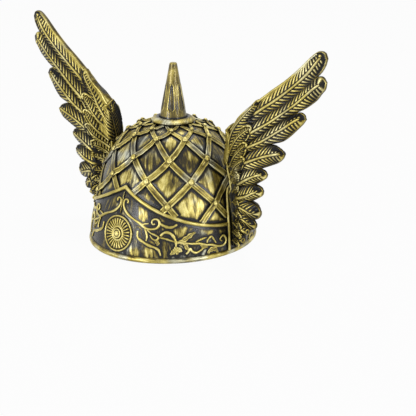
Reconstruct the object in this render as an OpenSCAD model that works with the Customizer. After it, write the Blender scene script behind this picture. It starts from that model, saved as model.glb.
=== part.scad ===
// Winged dress helmet: an oval moulded skull with a riveted strap lattice,
// a peaked brow border over scrollwork, a rosette, a crown spike and a pair
// of feathered side wings. Millimetres, Z up, front towards -Y, origin at
// the centre of the rim's underside. Azimuths run in degrees from the front
// towards +X, the wearer's left.

/* [Skull shell] */
// Half width of the shell at the rim, side to side
rim_x = 96; // [90:0.5:102]
// Half length of the shell at the rim, front to back
rim_y = 106.5; // [100:0.5:114]
// Height of the crown above the rim
crown_z = 144; // [138:1:152]
// Fullness of the side wall, where 2 is an ellipse and more is boxier
wall_fullness = 3.1; // [2.8:0.1:3.4]
// Height by which the oval rim has turned into a round crown
round_z = 110; // [100:1:125]
// Thickness of the moulded wall
shell_t = 2.5; // [2:0.1:3.5]
// Radius of the hole through the crown into the hollow spike
crown_bore_r = 14; // [12:0.5:14]

/* [Rim and brow] */
// Height of the rounded bead along the rim
rim_bead_h = 6.4; // [5:0.2:8]
// How far the rim bead stands out of the shell
rim_bead_out = 2.6; // [1.6:0.1:3.6]
// Height of the border's pointed peak over the forehead
peak_z = 81.5; // [78:0.5:90]
// Height of the border at the sides and back
band_z = 37.5; // [34:0.5:44]
// Sharpness of the border's sweep up to the peak
sweep_power = 1.6; // [1.4:0.1:2]
// Width of the border bead
border_w = 4.6; // [4:0.2:6]
// Height of the border bead over the shell
border_h = 2.6; // [1.6:0.1:3.4]

/* [Strap lattice] */
// Straps that lean each way
strap_count = 10; // [10:1:10]
// Width of a strap over its lower courses
strap_w = 8.6; // [7:0.2:10]
// Thickness of a strap
strap_t = 1.6; // [1.2:0.1:2]
// Width of the bevel along each strap edge
strap_bevel = 1.5; // [0.8:0.1:2]
// Share of its width that a strap keeps at the crown
crown_taper = 0.52; // [0.45:0.01:0.6]
// Rise of each row of crossings from rim to crown, in degrees, top row first
row_rise = [83, 75.6, 66.8, 51.7, 39, 26.8, 14.3];
// Diameter of a stud head
stud_d = 7.6; // [6:0.2:9]
// Height of a stud head
stud_h = 2.3; // [1.6:0.1:3]

/* [Rosette] */
// Diameter of the rosette on the forehead
rosette_d = 42; // [38:1:44]
// Height of the rosette's centre
rosette_z = 28.8; // [28:0.2:30]
// Height of the rosette's outer ring over the shell
rosette_h = 3; // [2:0.2:4]
// Petals round the rosette
petals = 26; // [20:2:30]
// Diameter of the domed hub in the rosette's centre
hub_d = 12; // [8:0.5:12]

/* [Scrollwork] */
// Width of a scroll stem
stem_w = 3; // [2.4:0.1:3.6]
// Height of the scrollwork over the shell
stem_h = 1.7; // [1.2:0.1:2.4]

/* [Crown spike] */
// Diameter of the spike at its foot
spike_d = 32.7; // [31:0.1:36]
// Diameter of the spike's blunt tip
tip_d = 9.4; // [8:0.2:11]
// Length of the spike from its foot to its tip
spike_len = 67; // [55:1:80]
// Wall of the hollow spike at its foot
spike_wall = 2.3; // [2:0.05:2.35]
// Flutes round the spike
flutes = 6; // [5:1:7]
// Depth of a flute
flute_depth = 1.1; // [0.8:0.1:1.5]
// Diameter of the collar under the spike
collar_d = 53.4; // [50:0.2:56]
// Height of the collar's top over the crown
collar_rise = 4.7; // [4:0.1:6]
// Outer diameter of the ring inside the crown
socket_d = 47; // [42:0.5:52]
// Height of the ring inside the crown
socket_h = 4; // [3:0.5:6]

/* [Wings] */
// Half width, along the rim, of the raised frame round a wing's root
frame_w = 12.3; // [11.5:0.1:13.5]
// Height of the raised frame round a wing's root
frame_z = 78; // [76:1:82]
// Width of the frame's bead
frame_bead_w = 4.4; // [3.6:0.2:5.2]
// Height of the frame's bead over the shell
frame_bead_h = 3; // [2:0.2:3.6]
// Half thickness of the wing's root
root_half_t = 6.6; // [5.6:0.2:7.2]
// Distance from the rim's side out to the wings' tips
wing_reach = 126; // [112:1:136]
// Height of the wings' tips over the rim
wing_top = 253; // [240:1:262]
// How far the wings lean forward of their roots
wing_forward = 12.5; // [9:0.5:15]
// Height where a wing stops resting on the shell
wing_leave_z = 70; // [66:1:72]
// Height of a wing's lowest end above the rim
wing_low_z = 9; // [8:0.5:12]

/* [Liner] */
// Thickness of the padded head band inside the rim
liner_t = 8; // [6:0.5:9]
// Height of the padded head band
liner_h = 28; // [22:1:32]
// Height of the band's lower edge above the rim
liner_low_z = 4; // [3:0.5:6]
// Space between the band and the shell
liner_gap = 0.3; // [0.2:0.05:0.5]
// Lean of the band's butt joint at the back
joint_lean = 9; // [4:1:14]

/* [Hidden] */

gold = [0.66, 0.57, 0.28];
bright_gold = [0.78, 0.69, 0.38];
dark_bronze = [0.25, 0.24, 0.2];
felt_grey = [0.33, 0.32, 0.3];

// Columns of facets round the shell, and its rises from the rim to the crown
columns = 48;
shell_rises = [0, 8, 16, 24, 32, 40, 48, 56, 63, 70, 76, 81, 86];
half_pitch = 180 / strap_count;
frame_angle = frame_w / rim_x * 180 / PI;
// Edge of the squared arch that the wing frames follow
arch_power = 4;
collar_top = crown_z + collar_rise;
slope = atan((spike_d - tip_d) / 2 / spike_len);
joint_w = 0.8;

function unit(v) = v / norm(v);

// Point i of a list, held at the list's ends
function held(pts, i) = pts[min(max(i, 0), len(pts) - 1)];

// Smooth curve through all points, at u from 0 to len - 1
function curve(pts, u) =
    let (i = min(max(floor(u), 0), len(pts) - 2), f = u - i,
         a = held(pts, i - 1), b = pts[i], c = pts[i + 1], d = held(pts, i + 2))
    b + f / 2 * (c - a + f * (2 * a - 5 * b + 4 * c - d + f * (3 * (b - c) + d - a)));

function smooth(pts, steps) = [for (i = [0:steps]) curve(pts, i * (len(pts) - 1) / steps)];

// The shell's outer surface
function reach(z) = rim_x * pow(max(0, 1 - pow(z / crown_z, 2)), 1 / wall_fullness);
function oval(z) = 1 + (rim_y / rim_x - 1) * pow(max(0, 1 - z / round_z), 1.5);
function on_shell(az, z) = [reach(z) * sin(az), -reach(z) * oval(z) * cos(az), z];
function outward(az, z) = unit(cross(on_shell(az + 1, z) - on_shell(az - 1, z),
                                     on_shell(az, z + 1) - on_shell(az, z - 1)));
function skin(az, z, out) = on_shell(az, z) + out * outward(az, z);
function rise_z(rise) = crown_z * sin(rise);
// Height of the crown at a radius from its centre
function crown_at(r) = crown_z * sqrt(1 - pow(r / rim_x, wall_fullness));
// Degrees round from the front, either way
function round_from_front(az) = abs((az % 360 + 540) % 360 - 180);

function border_z(az) = band_z + (peak_z - band_z)
    * pow(max(0, 1 - round_from_front(az) / (90 - frame_angle)), sweep_power);

// Closed solid through rings of equally many points, from one end to the other.
// Its ends are zipped shut across, so a ring may be long, thin and bent.
module loft(rings, closed = false) {
    count = len(rings);
    sides = len(rings[0]);
    walls = [
        for (i = [0:count - (closed ? 1 : 2)], j = [0:sides - 1])
            let (k = (j + 1) % sides, n = (i + 1) % count,
                 a = i * sides + j, b = i * sides + k, c = n * sides + k, d = n * sides + j)
            each [[a, c, b], [a, d, c]]
    ];
    last = (count - 1) * sides;
    ends = closed ? [] : [
        for (j = [0:sides / 2 - 2])
            let (k = sides - 1 - j)
            each [[j, j + 1, k - 1], [j, k - 1, k],
                  [last + j + 1, last + j, last + k], [last + j + 1, last + k, last + k - 1]]
    ];
    polyhedron(points = [for (r = rings) each r], faces = concat(walls, ends), convexity = 10);
}

// Profile of a bead or strap, as points [across, up]
function bead_profile(w, h) = [[w / 2, 0], [0.3 * w, h], [-0.3 * w, h], [-w / 2, 0]];
function strap_profile(w) = [
    [w / 2, 0], [w / 2 - strap_bevel, strap_t], [strap_bevel - w / 2, strap_t], [-w / 2, 0]
];

// Rings of a profile laid along path points [azimuth, height, out] on the shell
function laid(path, profiles) = [
    for (i = [0:len(path) - 1])
        let (p = path[i], a = held(path, i - 1), b = held(path, i + 1),
             n = outward(p.x, p.y),
             side = unit(cross(on_shell(b.x, b.y) - on_shell(a.x, a.y), n)))
        [for (q = profiles[i]) skin(p.x, p.y, p.z) + side * q.x + n * q.y]
];

// Moulded skull with an even wall, open below and bored through the crown
module skull_shell() {
    outer = [for (r = shell_rises) shell_ring(rise_z(r), 0)];
    inner = [for (r = shell_rises) shell_ring(rise_z(r), -shell_t)];
    last = len(shell_rises) - 1;
    color(dark_bronze) difference() {
        loft(concat([for (i = [last:-1:0]) outer[i]], inner));
        translate([0, 0, crown_z - 10]) cylinder(r = crown_bore_r, h = 20);
    }
}

function shell_ring(z, out) = [
    for (i = [0:columns - 1])
        let (p = skin(i * 360 / columns, z, out)) [p.x, p.y, z == 0 ? 0 : p.z]
];

// Rounded bead round the rim, flat underneath
module rim_bead() {
    h = rim_bead_h;
    out = rim_bead_out;
    profile = [[0, 0], [0.75 * out, 0], [out, 0.25 * h], [out, 0.65 * h], [0.6 * out, 0.93 * h], [0, h]];
    color(gold) loft([
        for (i = [0:columns - 1])
            let (az = i * 360 / columns)
            [for (q = profile)
                let (p = skin(az, q.y, q.x)) [p.x, p.y, q.y]]
    ], closed = true);
}

// Border bead from one wing frame to the other, over the brow and round the back
module brow_border() {
    reach_az = 90 - edge_angle(band_z) - bead_angle();
    front = [for (i = [-24:24]) sign(i) * reach_az * pow(abs(i) / 24, 1.2)];
    rear = [for (i = [-14:14]) 180 + i * reach_az / 14];
    color(gold) {
        border_run(front);
        border_run(rear);
    }
}

module border_run(azimuths) {
    loft(laid([for (az = azimuths) [az, border_z(az), 0]],
              [for (az = azimuths) bead_profile(border_w, border_h)]));
}

// Half width in degrees of a wing frame's centre line at a height
function edge_angle(z) = frame_angle * pow(max(0, 1 - pow(z / frame_z, arch_power)), 1 / arch_power);
function bead_angle() = frame_bead_w / 2 / rim_x * 180 / PI;

// Raised arch on the shell round a wing's root
module wing_frame(side) {
    foot = rim_bead_h / frame_z;
    lift = asin(pow(foot, 2));
    path = [
        for (i = [0:26])
            let (a = lift + i * (180 - 2 * lift) / 26)
            [side * (90 - sign(cos(a)) * frame_angle * sqrt(abs(cos(a)))), frame_z * sqrt(sin(a)), 0]
    ];
    color(gold) loft(laid(path, [for (p = path) bead_profile(frame_bead_w, frame_bead_h)]));
}

// Azimuth and height of a strap, r rows of crossings below the top row
function strap_az(lane, lean, r) = (2 * lane + lean * r) * half_pitch;
function strap_z(r) = rise_z(curve(row_rise, r + 1));
function strap_w_at(r) = strap_w * (crown_taper + (1 - crown_taper) * min(1, (r + 1) / 3.2));

// Is a place on the shell above the border and outside the wing frames?
function in_lattice(az, z) =
    z > border_z(az) + border_w / 2
    && pow(abs(round_from_front(az) - 90) / (frame_angle + bead_angle()), arch_power)
       + pow(z / (frame_z + frame_bead_w / 2), arch_power) > 1;

// Row at which a strap runs into the border or a frame, by halving
function strap_end(lane, lean, low = 2, high = 5, tries = 12) =
    tries == 0 ? low
    : let (r = (low + high) / 2)
      in_lattice(strap_az(lane, lean, r), strap_z(r))
      ? strap_end(lane, lean, r, high, tries - 1)
      : strap_end(lane, lean, low, r, tries - 1);

// Row at which the straps stop short of the collar, by halving
function strap_start(low = -1, high = 0, tries = 12) =
    tries == 0 ? high
    : let (r = (low + high) / 2)
      strap_z(r) > crown_at(collar_d / 2 + strap_gap)
      ? strap_start(r, high, tries - 1)
      : strap_start(low, r, tries - 1);

strap_gap = 0.3;
// Rows each side of a crossing where an upper strap lies flat, and where it has come down
flat_rows = 0.17;
down_rows = 0.27;

function lift_at(r) =
    let (d = abs(r - round(r)))
    strap_t * min(1, max(0, (down_rows - d) / (down_rows - flat_rows)));

module strap(lane, lean, rows, over) {
    start = strap_start();
    end = strap_end(lane, lean);
    stops = concat([start], [for (r = rows) if (r > start + 0.04 && r < end - 0.04) r], [end]);
    path = [for (r = stops) [strap_az(lane, lean, r), strap_z(r), over ? lift_at(r) : 0]];
    color(gold) loft(laid(path, [for (r = stops) strap_profile(strap_w_at(r))]));
}

module under_strap(lane) {
    strap(lane, 1, [for (i = [-2:16]) i * 0.32], false);
}

// An upper strap steps up over each lower strap that it crosses
module over_strap(lane) {
    steps = [-down_rows, -flat_rows, flat_rows, down_rows, 0.5];
    strap(lane, -1, [for (n = [0:5], d = steps) n + d], true);
}

// Domed heads over one row of crossings; a crossing that the border hides has none
module studs(row) {
    z = rise_z(row_rise[row]);
    odd = (row + 1) % 2;
    for (i = [0:strap_count - 1]) {
        az = (2 * i + odd) * half_pitch;
        if (in_lattice(az, z)) stud(az, z);
    }
}

module stud(az, z) {
    n = outward(az, z);
    r = stud_d / 2;
    color(bright_gold) translate(skin(az, z, 2 * strap_t)) rotate([0, acos(n.z), atan2(n.y, n.x)])
        rotate_extrude($fn = 32)
            polygon([[0, 0], [r, 0], [r, 0.3 * stud_h], [0.75 * r, 0.75 * stud_h],
                     [0.35 * r, stud_h], [0, stud_h]]);
}

// Disc that follows the forehead, with an outer ring, radial petals and an inner ring
module rosette() {
    r = rosette_d / 2;
    h = rosette_h;
    steps = 2 * petals;
    foot = [[1, 0]];
    ring = [[0.97, 0.8 * h], [0.93, h], [0.87, 0.8 * h], [0.84, 0.3 * h]];
    heart = [[0.42, 0.35 * h], [0.38, 0.75 * h], [0.3, 0.75 * h]];
    rings = [
        for (q = concat(foot, ring)) disc_ring(q[0] * r, q[1], q[1], steps),
        disc_ring(0.8 * r, 0.3 * h, 0.85 * h, steps),
        disc_ring(0.48 * r, 0.3 * h, 0.7 * h, steps),
        for (q = heart) disc_ring(q[0] * r, q[1], q[1], steps)
    ];
    color(gold) loft(concat([disc_ring(0.3 * r, 0, 0, steps)], rings));
}

// Ring of points round the rosette's centre, at two heights by turns
function disc_ring(r, low, high, steps) = [
    for (i = [0:steps - 1])
        let (a = i * 360 / steps, u = r * cos(a), v = r * sin(a))
        skin(u / rim_x * 180 / PI, rosette_z + v, i % 2 == 0 ? high : low)
];

module rosette_hub() {
    n = outward(0, rosette_z);
    r = hub_d / 2;
    color(bright_gold) translate(skin(0, rosette_z, 0.75 * rosette_h))
        rotate([0, acos(n.z), atan2(n.y, n.x)]) rotate_extrude($fn = 40)
            polygon([[0, 0], [r, 0], [r, 0.8], [0.8 * r, 1.5], [0.62 * r, 0.9], [0.45 * r, 1.9], [0, 2.2]]);
}

// Stem routes on the wearer's left of the forehead, as points [azimuth, height]
peak_stem = [
    [4.8, 64.7], [5.9, 67], [3, 68], [1.8, 64], [3, 58.5], [9.3, 50], [17.7, 43.8], [20.7, 40.3],
    [26.8, 39.2], [31, 43.5], [30, 50.4], [25.8, 50], [25.4, 45.6], [27.8, 45]
];
tail_leaf = [[33.2, 46.2], [37.2, 42.2], [43.4, 45.3]];
tendril = [[16, 36], [17.4, 29], [22.4, 23], [29.4, 19], [33, 12]];
arch_stem = [[32.6, 32], [36.4, 36.4], [41, 32.5], [43, 25.7], [42.4, 17]];
vine = [
    [45.4, 25], [51.4, 23], [59.4, 21.4], [68.4, 17.6], [74.5, 14.2], [78.6, 18.5], [77.1, 25.6], [74.4, 22.6]
];
upper_leaf = [[48.9, 28.2], [52, 31.6], [56.8, 35.4]];
lower_leaf = [[47.9, 19.8], [49.4, 17], [50.8, 13.6]];
broad_leaf = [[54.4, 13.6], [58.4, 11.4], [64.6, 14.4]];
rear_vine = [[175, 26], [166, 21], [157, 17], [147, 20], [140, 27], [132, 31]];
rear_curl = [[174, 31], [169.5, 33.6], [166, 30], [168.6, 27.4]];

module stem(points, steps, fat = 1) {
    path = [for (p = smooth(points, steps)) [p.x, p.y, 0]];
    loft(laid(path, [for (i = [0:steps])
        let (s = i / steps, w = stem_w * fat * (0.45 + 0.55 * sin(30 + 140 * s)))
        bead_profile(w, stem_h)]));
}

module front_scroll(side) {
    color(gold) mirror([side < 0 ? 1 : 0, 0, 0]) {
        stem(peak_stem, 30);
        stem(tail_leaf, 5, 1.3);
        stem(tendril, 8, 1.2);
        stem(arch_stem, 9, 1.2);
        side_vine();
    }
}

// The vine that runs back to the wing frame
module side_vine() {
    stem(vine, 18, 1.1);
    stem(upper_leaf, 4, 1.6);
    stem(lower_leaf, 4, 1.6);
    stem(broad_leaf, 5, 1.7);
}

module rear_scroll(side) {
    color(gold) mirror([side < 0 ? 1 : 0, 0, 0]) {
        mirror([0, 1, 0]) side_vine();
        stem(rear_vine, 11, 1.2);
        stem(rear_curl, 7);
    }
}

module crown_collar() {
    r = collar_d / 2;
    seat_r = crown_bore_r + 6;
    brim = crown_at(r) + 1;
    color(gold) rotate_extrude($fn = 96) polygon([
        [crown_bore_r, crown_at(crown_bore_r) + 0.05], [seat_r, crown_at(seat_r) + 0.3], [seat_r, brim],
        [r - 1.4, brim], [r - 0.3, brim + 1.1], [r, (brim + collar_top) / 2],
        [r - 0.3, collar_top - 1.1], [r - 1.6, collar_top], [crown_bore_r, collar_top]
    ]);
}

// Hollow tapered spike with shallow round-bottomed flutes
module crown_spike() {
    r = spike_d / 2;
    tip = tip_d / 2;
    top = collar_top + spike_len;
    color(bright_gold) difference() {
        rotate_extrude($fn = 96) polygon([
            [r - spike_wall, collar_top], [r, collar_top], [r, collar_top + 0.8], [tip, top - 2.2],
            [0.8 * tip, top - 0.5], [0.55 * tip, top], [0, top],
            [0, top - 11], [tip - spike_wall, top - 13]
        ]);
        for (i = [0:flutes - 1]) rotate([0, 0, (i + 0.5) * 360 / flutes]) flute(r);
    }
}

// Cutter for one flute: a long tapered plug sunk into the cone's side
module flute(r) {
    low = 0.15 * spike_len;
    wide = 0.115 * spike_d;
    narrow = 0.12 * tip_d + 0.4;
    span = 0.52 * spike_len;
    translate([0, -r + (low + wide) * tan(slope) - wide + flute_depth, collar_top + low])
        rotate([-slope, 0, 0]) translate([0, wide - 2 * flute_depth, 0])
            rotate_extrude($fn = 32) polygon([
                [0, 0], [0.6 * wide, 0.35 * wide], [wide, wide], [narrow, span], [0, span + narrow]
            ]);
}

module socket_ring() {
    outer = socket_d / 2;
    roof = crown_at(outer) - shell_t - 0.5;
    color(dark_bronze) rotate_extrude($fn = 96) polygon([
        [crown_bore_r, crown_at(crown_bore_r) - shell_t - 0.3], [outer, roof],
        [outer, roof - socket_h + 1], [outer - 1, roof - socket_h], [crown_bore_r, roof - socket_h]
    ]);
}

// Points of the wings are [out, up], in hundredths of the reach out from the rim's
// side and of the height of the tips
function placed(p) = [rim_x + p.x / 100 * wing_reach, p.y / 100 * wing_top];
function placed_all(pts) = [for (p = pts) placed(p)];

// Inner edge of a wing from its shoulder down to where it meets the shell
inner_edge = placed_all([[1.6, 61.7], [-2.9, 58.5], [-4.8, 52.6], [-5.7, 45.1], [-4.5, 37.5], [-2.9, 31.2]]);
// Leading edge from the shoulder out to the tip
lead_edge = placed_all([[13.5, 69], [30.2, 75.3], [59.5, 85.8], [85.7, 98]]);

// Long feathers from the top down: root and tip, width, half thickness and how far
// the short feather under its shaft reaches out past its root
feather_plan = [
    [[12.7, 62.5], [99.2, 99.2], 21, 5.4, 10],
    [[11.1, 56.1], [99.6, 88.1], 21, 6, 8],
    [[7.9, 49.8], [80.6, 70.8], 20, 6.6, 7],
    [[6.3, 43.5], [63.2, 54], 21, 7.2, 6],
    [[4.8, 36.4], [44.4, 43], 18, 8, 6],
    [[4, 30], [40.2, 34.6], 17, 8.4, 8],
    [[4, 24.5], [37.2, 24.9], 18, 8.4, 9],
    [[4, 18.6], [30.2, 17.7], 15, 8, 9],
    [[4, 13], [27.8, 11.8], 13, 7.6, 8]
];
feathers = [for (f = feather_plan) [placed(f[0]), placed(f[1]), f[2], f[3], f[4]]];
// Reach of the short feather along the leading edge
lead_covert = 36;
// Half thickness over the short feathers, and how far they step down at their ends
covert_half_t = 9.4;
covert_step = 1.4;

// How far forward the wing has curved at a point: it starts straight out of its frame
// and closer in above the frame's arch, and is fully forward at lean_out past the rim
lean_out = 20;
function lean_y(x, z) =
    let (from = rim_x - 2 - 14 * ease((z - crown_z + 44) / 50), to = rim_x + lean_out)
    -wing_forward * ease((x - from) / (to - from));
function ease(t) = let (k = max(0, min(1, t))) k * k * (3 - 2 * k);

function span(f) = norm(f[1] - f[0]);
function along(f) = unit(f[1] - f[0]);
function across(f) = [-along(f).y, along(f).x];
function half_w(f, d) = f[2] / 2 * (0.35 + 0.65 * min(1, d / span(f) / 0.7));

// Points of a long feather at a distance d from its root: its shaft and its two
// edges. Its upper edge tucks in against the lower edge of the feather above.
function shaft(f, d) = f[0] + along(f) * d;
function lower_edge(f, d) = shaft(f, d) - across(f) * half_w(f, d);
function upper_edge(j, d) =
    j == 0 ? curve(lead_edge, 3 * d / span(feathers[0]))
           : lower_edge(feathers[j - 1], d) - across(feathers[j - 1]) * tuck;
tuck = 0.5;

// Inner end of the wing at a count u of feathers from the top: first its free
// inner edge and then, from the sixth feather's shaft down, the shell itself
foot_u = 5.5;
function inner_point(u) =
    u <= 5 ? curve(inner_edge, u)
    : u < foot_u ? let (z = wing_leave_z, k = (u - 5) / (foot_u - 5))
                   inner_edge[5] * (1 - k) + [reach(z), z] * k
    : let (k = (u - foot_u) / (len(feathers) - foot_u),
           z = wing_leave_z + k * (wing_low_z - wing_leave_z))
      [reach(z), z];

// How far past a long feather's root the short feathers reach, at a share c of the
// way from its shaft to its upper (+) or lower (-) edge
function covert_end(j, c) =
    j == 0 && c >= 0 ? lead_covert * lookup(c, [[0, 0.45], [0.6, 1], [1, 0.8]])
    : c == 1 ? 0.6 * feathers[j - 1][4]
    : feathers[j][4] * lookup(c, [[-1, 0.8], [-0.6, 1], [0, 0.4], [0.6, 0.2]]);

// Closed outline that runs out along the wing's front and back along its rear
function wing_strip(j, c) =
    let (f = feathers[j],
         far = span(f) - f[2] / 2 * (1 - sqrt(1 - c * c)),
         t = f[3] * (c == 1 ? (j == 0 ? 0.8 : 0.45) : c == -1 ? 0.7 : 1 - 0.2 * abs(c)),
         crest = covert_half_t * (abs(c) == 1 ? 0.85 : c == -0.6 ? 1 : 0.93),
         inner = inner_point(j + (1 - c) / 2 + (c == 1 ? 0.03 : 0)),
         end = covert_end(j, c),
         stops = [[end, crest * 0.92], [end + covert_step, t],
                  [0.6 * far, t], [0.88 * far, 0.95 * t], [far, t / 2]],
         outer = [for (r = stops)
             let (s = shaft(f, r[0]),
                  p = s + abs(c) * ((c > 0 ? upper_edge(j, r[0]) : lower_edge(f, r[0])) - s))
             [p.x, p.y, r[1]]],
         front = concat([[inner.x, inner.y, root_half_t],
                         [(inner.x + outer[0].x) / 2, (inner.y + outer[0].y) / 2, crest]], outer),
         last = len(front) - 1)
    concat([for (p = front) [p.x, lean_y(p.x, p.y) - p.z, p.y]],
           [for (i = [last:-1:0]) let (p = front[i]) [p.x, lean_y(p.x, p.y) + p.z, p.y]]);

// One moulding: foot on the shell, leading edge, short feathers and the fan of long ones
module wing(side) {
    color(gold) mirror([side < 0 ? 1 : 0, 0, 0])
        loft([for (j = [0:len(feathers) - 1], c = [1, 0.6, 0, -0.6, -1]) wing_strip(j, c)]);
}

// Padded band inside the rim, closed by a slanted butt joint at the back
module liner_band() {
    back = shell_t + liner_gap;
    front = back + liner_t;
    edge = 2.5;
    low = liner_low_z;
    high = liner_low_z + liner_h;
    profile = [[low, back], [low, front - edge], [low + edge, front],
               [high - edge, front], [high, front - edge], [high, back]];
    gap = joint_w / rim_y * 180 / PI;
    color(felt_grey) loft([
        for (i = [0:columns])
            [for (q = profile)
                skin(180 + gap / 2 + i * (360 - gap) / columns + joint_lean * ((q.x - low) / liner_h - 0.5),
                     q.x, -q.y)]
    ]);
}

skull_shell();
rim_bead();
brow_border();
wing_frame(1);  // wing_frame_left
wing_frame(-1);  // wing_frame_right
for (i = [1:strap_count]) {
    under_strap(i - 1);
    over_strap(i - 1);
}
studs(1);  // crown_studs
studs(2);  // upper_studs
studs(3);  // middle_studs
studs(4);  // lower_studs
studs(5);  // brow_studs
rosette();
rosette_hub();
front_scroll(1);  // front_scroll_left
front_scroll(-1);  // front_scroll_right
rear_scroll(1);  // rear_scroll_left
rear_scroll(-1);  // rear_scroll_right
crown_collar();
crown_spike();
socket_ring();
wing(1);  // wing_left
wing(-1);  // wing_right
liner_band();
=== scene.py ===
import math

import bmesh
import bpy
import numpy as np
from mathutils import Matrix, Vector, kdtree


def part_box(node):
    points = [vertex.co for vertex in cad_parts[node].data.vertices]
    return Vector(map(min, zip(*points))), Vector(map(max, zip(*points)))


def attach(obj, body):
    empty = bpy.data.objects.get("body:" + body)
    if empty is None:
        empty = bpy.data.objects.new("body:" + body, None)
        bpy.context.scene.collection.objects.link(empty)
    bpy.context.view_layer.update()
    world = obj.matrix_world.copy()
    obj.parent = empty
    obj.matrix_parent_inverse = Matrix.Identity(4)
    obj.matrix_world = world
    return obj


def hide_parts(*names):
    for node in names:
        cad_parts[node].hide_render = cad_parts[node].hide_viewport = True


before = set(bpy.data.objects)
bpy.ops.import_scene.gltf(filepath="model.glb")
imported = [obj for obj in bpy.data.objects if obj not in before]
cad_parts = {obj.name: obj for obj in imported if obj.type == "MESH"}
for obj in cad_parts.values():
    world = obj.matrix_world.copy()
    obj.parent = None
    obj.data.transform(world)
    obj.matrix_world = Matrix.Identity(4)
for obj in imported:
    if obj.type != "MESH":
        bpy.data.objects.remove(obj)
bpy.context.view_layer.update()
MM = 0.001
LOW, HIGH = 0, 1
X, Y, Z = 0, 1, 2


def size_of(node, corner, axis):
    """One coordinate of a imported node's box, in millimetres."""
    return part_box(node)[corner][axis] / MM


# Sizes read from the frame
RIM_X = size_of("skull_shell", HIGH, X)
RIM_Y = size_of("skull_shell", HIGH, Y)
COLLAR_R = size_of("crown_collar", HIGH, X)
COLLAR_TOP = size_of("crown_collar", HIGH, Z)
SPIKE_R = size_of("crown_spike", HIGH, X)
SPIKE_TOP = size_of("crown_spike", HIGH, Z)
BEAD_H = size_of("rim_bead", HIGH, Z)
BEAD_OUT = size_of("rim_bead", HIGH, X) - RIM_X
HUB_R = size_of("rosette_hub", HIGH, X)
SOCKET_R = size_of("socket_ring", HIGH, X)
SOCKET_LOW = size_of("socket_ring", LOW, Z)
SOCKET_TOP = size_of("socket_ring", HIGH, Z)
LINER_LOW = size_of("liner_band", LOW, Z)
LINER_HIGH = size_of("liner_band", HIGH, Z)

# Sizes that the frame doesn't give by itself. The skull's height, how square and how
# oval it is, its wall and its bore
CROWN_Z = COLLAR_TOP - 4.7
FULLNESS = 3.1
ROUND_Z = 110
SHELL_T = 2.5
BORE_R = 14
SKULL_COLUMNS, SKULL_ROWS = 640, 190
GROOVE_H, GROOVE_W = 0.35, 1.1
PILLOW_H = 0.35
IMPRINT_H = 0.8
# Border round the brow, and frames round the wings' roots
PEAK_Z = 81.5
BAND_Z = 37.5
SWEEP = 1.6
BORDER_W = 4.8
BORDER_H = 2.5
FRAME_Z = 78
FRAME_ANGLE = math.degrees(12.3 / RIM_X)
FRAME_BEAD_W = 4.2
FRAME_BEAD_H = 2.9
FRAME_BEAD_ANGLE = math.degrees(FRAME_BEAD_W / 2 / RIM_X)
# Lattice; the rows are angles of rise, from above the collar down
LANES = 10
HALF_PITCH = 180 / LANES
STRAP_W = 7.9
STRAP_T = 1.6
CROWN_TAPER = 0.42
ROW_RISE = [83, 75.6, 66.8, 51.7, 39, 26.8, 14.3]
STUD_ROWS = {"crown": 1, "upper": 2, "middle": 3, "lower": 4, "brow": 5}
STUD_R = 3.6
STUD_H = 2.2
STUD_SINK = 0.5
CROWN_STUD = 0.78
# Rosette, spike, band, scrollwork and wings
ROSETTE_R = 21
ROSETTE_Z = 28.8
ROSETTE_H = 2.9
PETALS = 26
COLLAR_RISE = 2.4
SPIKE_TIP_R = 4.7
FLUTE_STEP = math.radians(60)
FLUTE_TURN = math.radians(28)
FLUTE_SPAN = (0.15, 0.64)
FLUTE_W, FLUTE_TAPER = 3.9, 2.4
FLUTE_DEEP, FLUTE_LIP = 0.85, 0.3
LINER_T = 8
LINER_GAP = 0.7
LINER_SKEW = 9
LINER_RUN = 570
STEM_H = 1.9
STEM_BOLD = 1.28
LEAF_H = 1.8
LEAF_BOLD = 1.45
WING_FORWARD = 12.5
# The lower feathers are pulled forward and inwards, the upper part stands back, and the
# root is fuller in front
LOW_FORWARD, LOW_INWARD = 4.2, 1.6
HIGH_BACK = 2
ROOT_FULL = 0.5
# Brush strokes on the panels: the lattice's panels are numbered below 100, the brow's
# from 200 by their azimuth
BROW_PANELS = 200
BROW_PANEL_ANGLE = 24
PANELS = 230
PANEL_LEVEL = (-0.12, 0.14)
PANEL_SLANT = (-0.42, 0.42)
STROKES = 4200
STROKE_WIDE = (0.6, 2.3)
STROKE_TALL = (4, 14)
STROKE_POWER = (-0.32, 0.22)
STROKE_LIMIT = 0.35

rng = np.random.default_rng(7)


# Curves and the skull's surface


def curve(points, u):
    """Catmull-Rom curve through points at u, from 0 to their count less one."""
    pts = np.asarray(points, float)
    u = np.atleast_1d(np.asarray(u, float))
    i = np.clip(np.floor(u).astype(int), 0, len(pts) - 2)
    f = (u - i).reshape(-1, *([1] * (pts.ndim - 1)))
    last = len(pts) - 1
    a, b = pts[np.clip(i - 1, 0, last)], pts[i]
    c, d = pts[i + 1], pts[np.clip(i + 2, 0, last)]
    return b + f / 2 * (c - a + f * (2 * a - 5 * b + 4 * c - d + f * (3 * (b - c) + d - a)))


def path_length(points):
    return np.concatenate([[0], np.cumsum(np.linalg.norm(np.diff(points, axis=0), axis=1))])


class Line:
    """A curve in a plane, measured by its length once each axis is scaled."""

    def __init__(self, points, fine=30, scale=(1, 1)):
        self.dense = curve(points, np.linspace(0, len(points) - 1, fine * len(points)))
        self.along = path_length(self.dense * np.asarray(scale, float))
        self.length = self.along[-1]

    def at(self, s):
        return np.stack([np.interp(s, self.along, self.dense[:, k]) for k in range(2)], -1)


def smooth_path(route, count):
    """Azimuths and heights of count places along a route on the skull, evenly spaced."""
    line = Line(route, 40, (math.radians(RIM_X), 1))
    return line.at(np.linspace(0, line.length, count)).T


def full_turn(count):
    return np.linspace(0, 2 * math.pi, count, endpoint=False)


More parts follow.
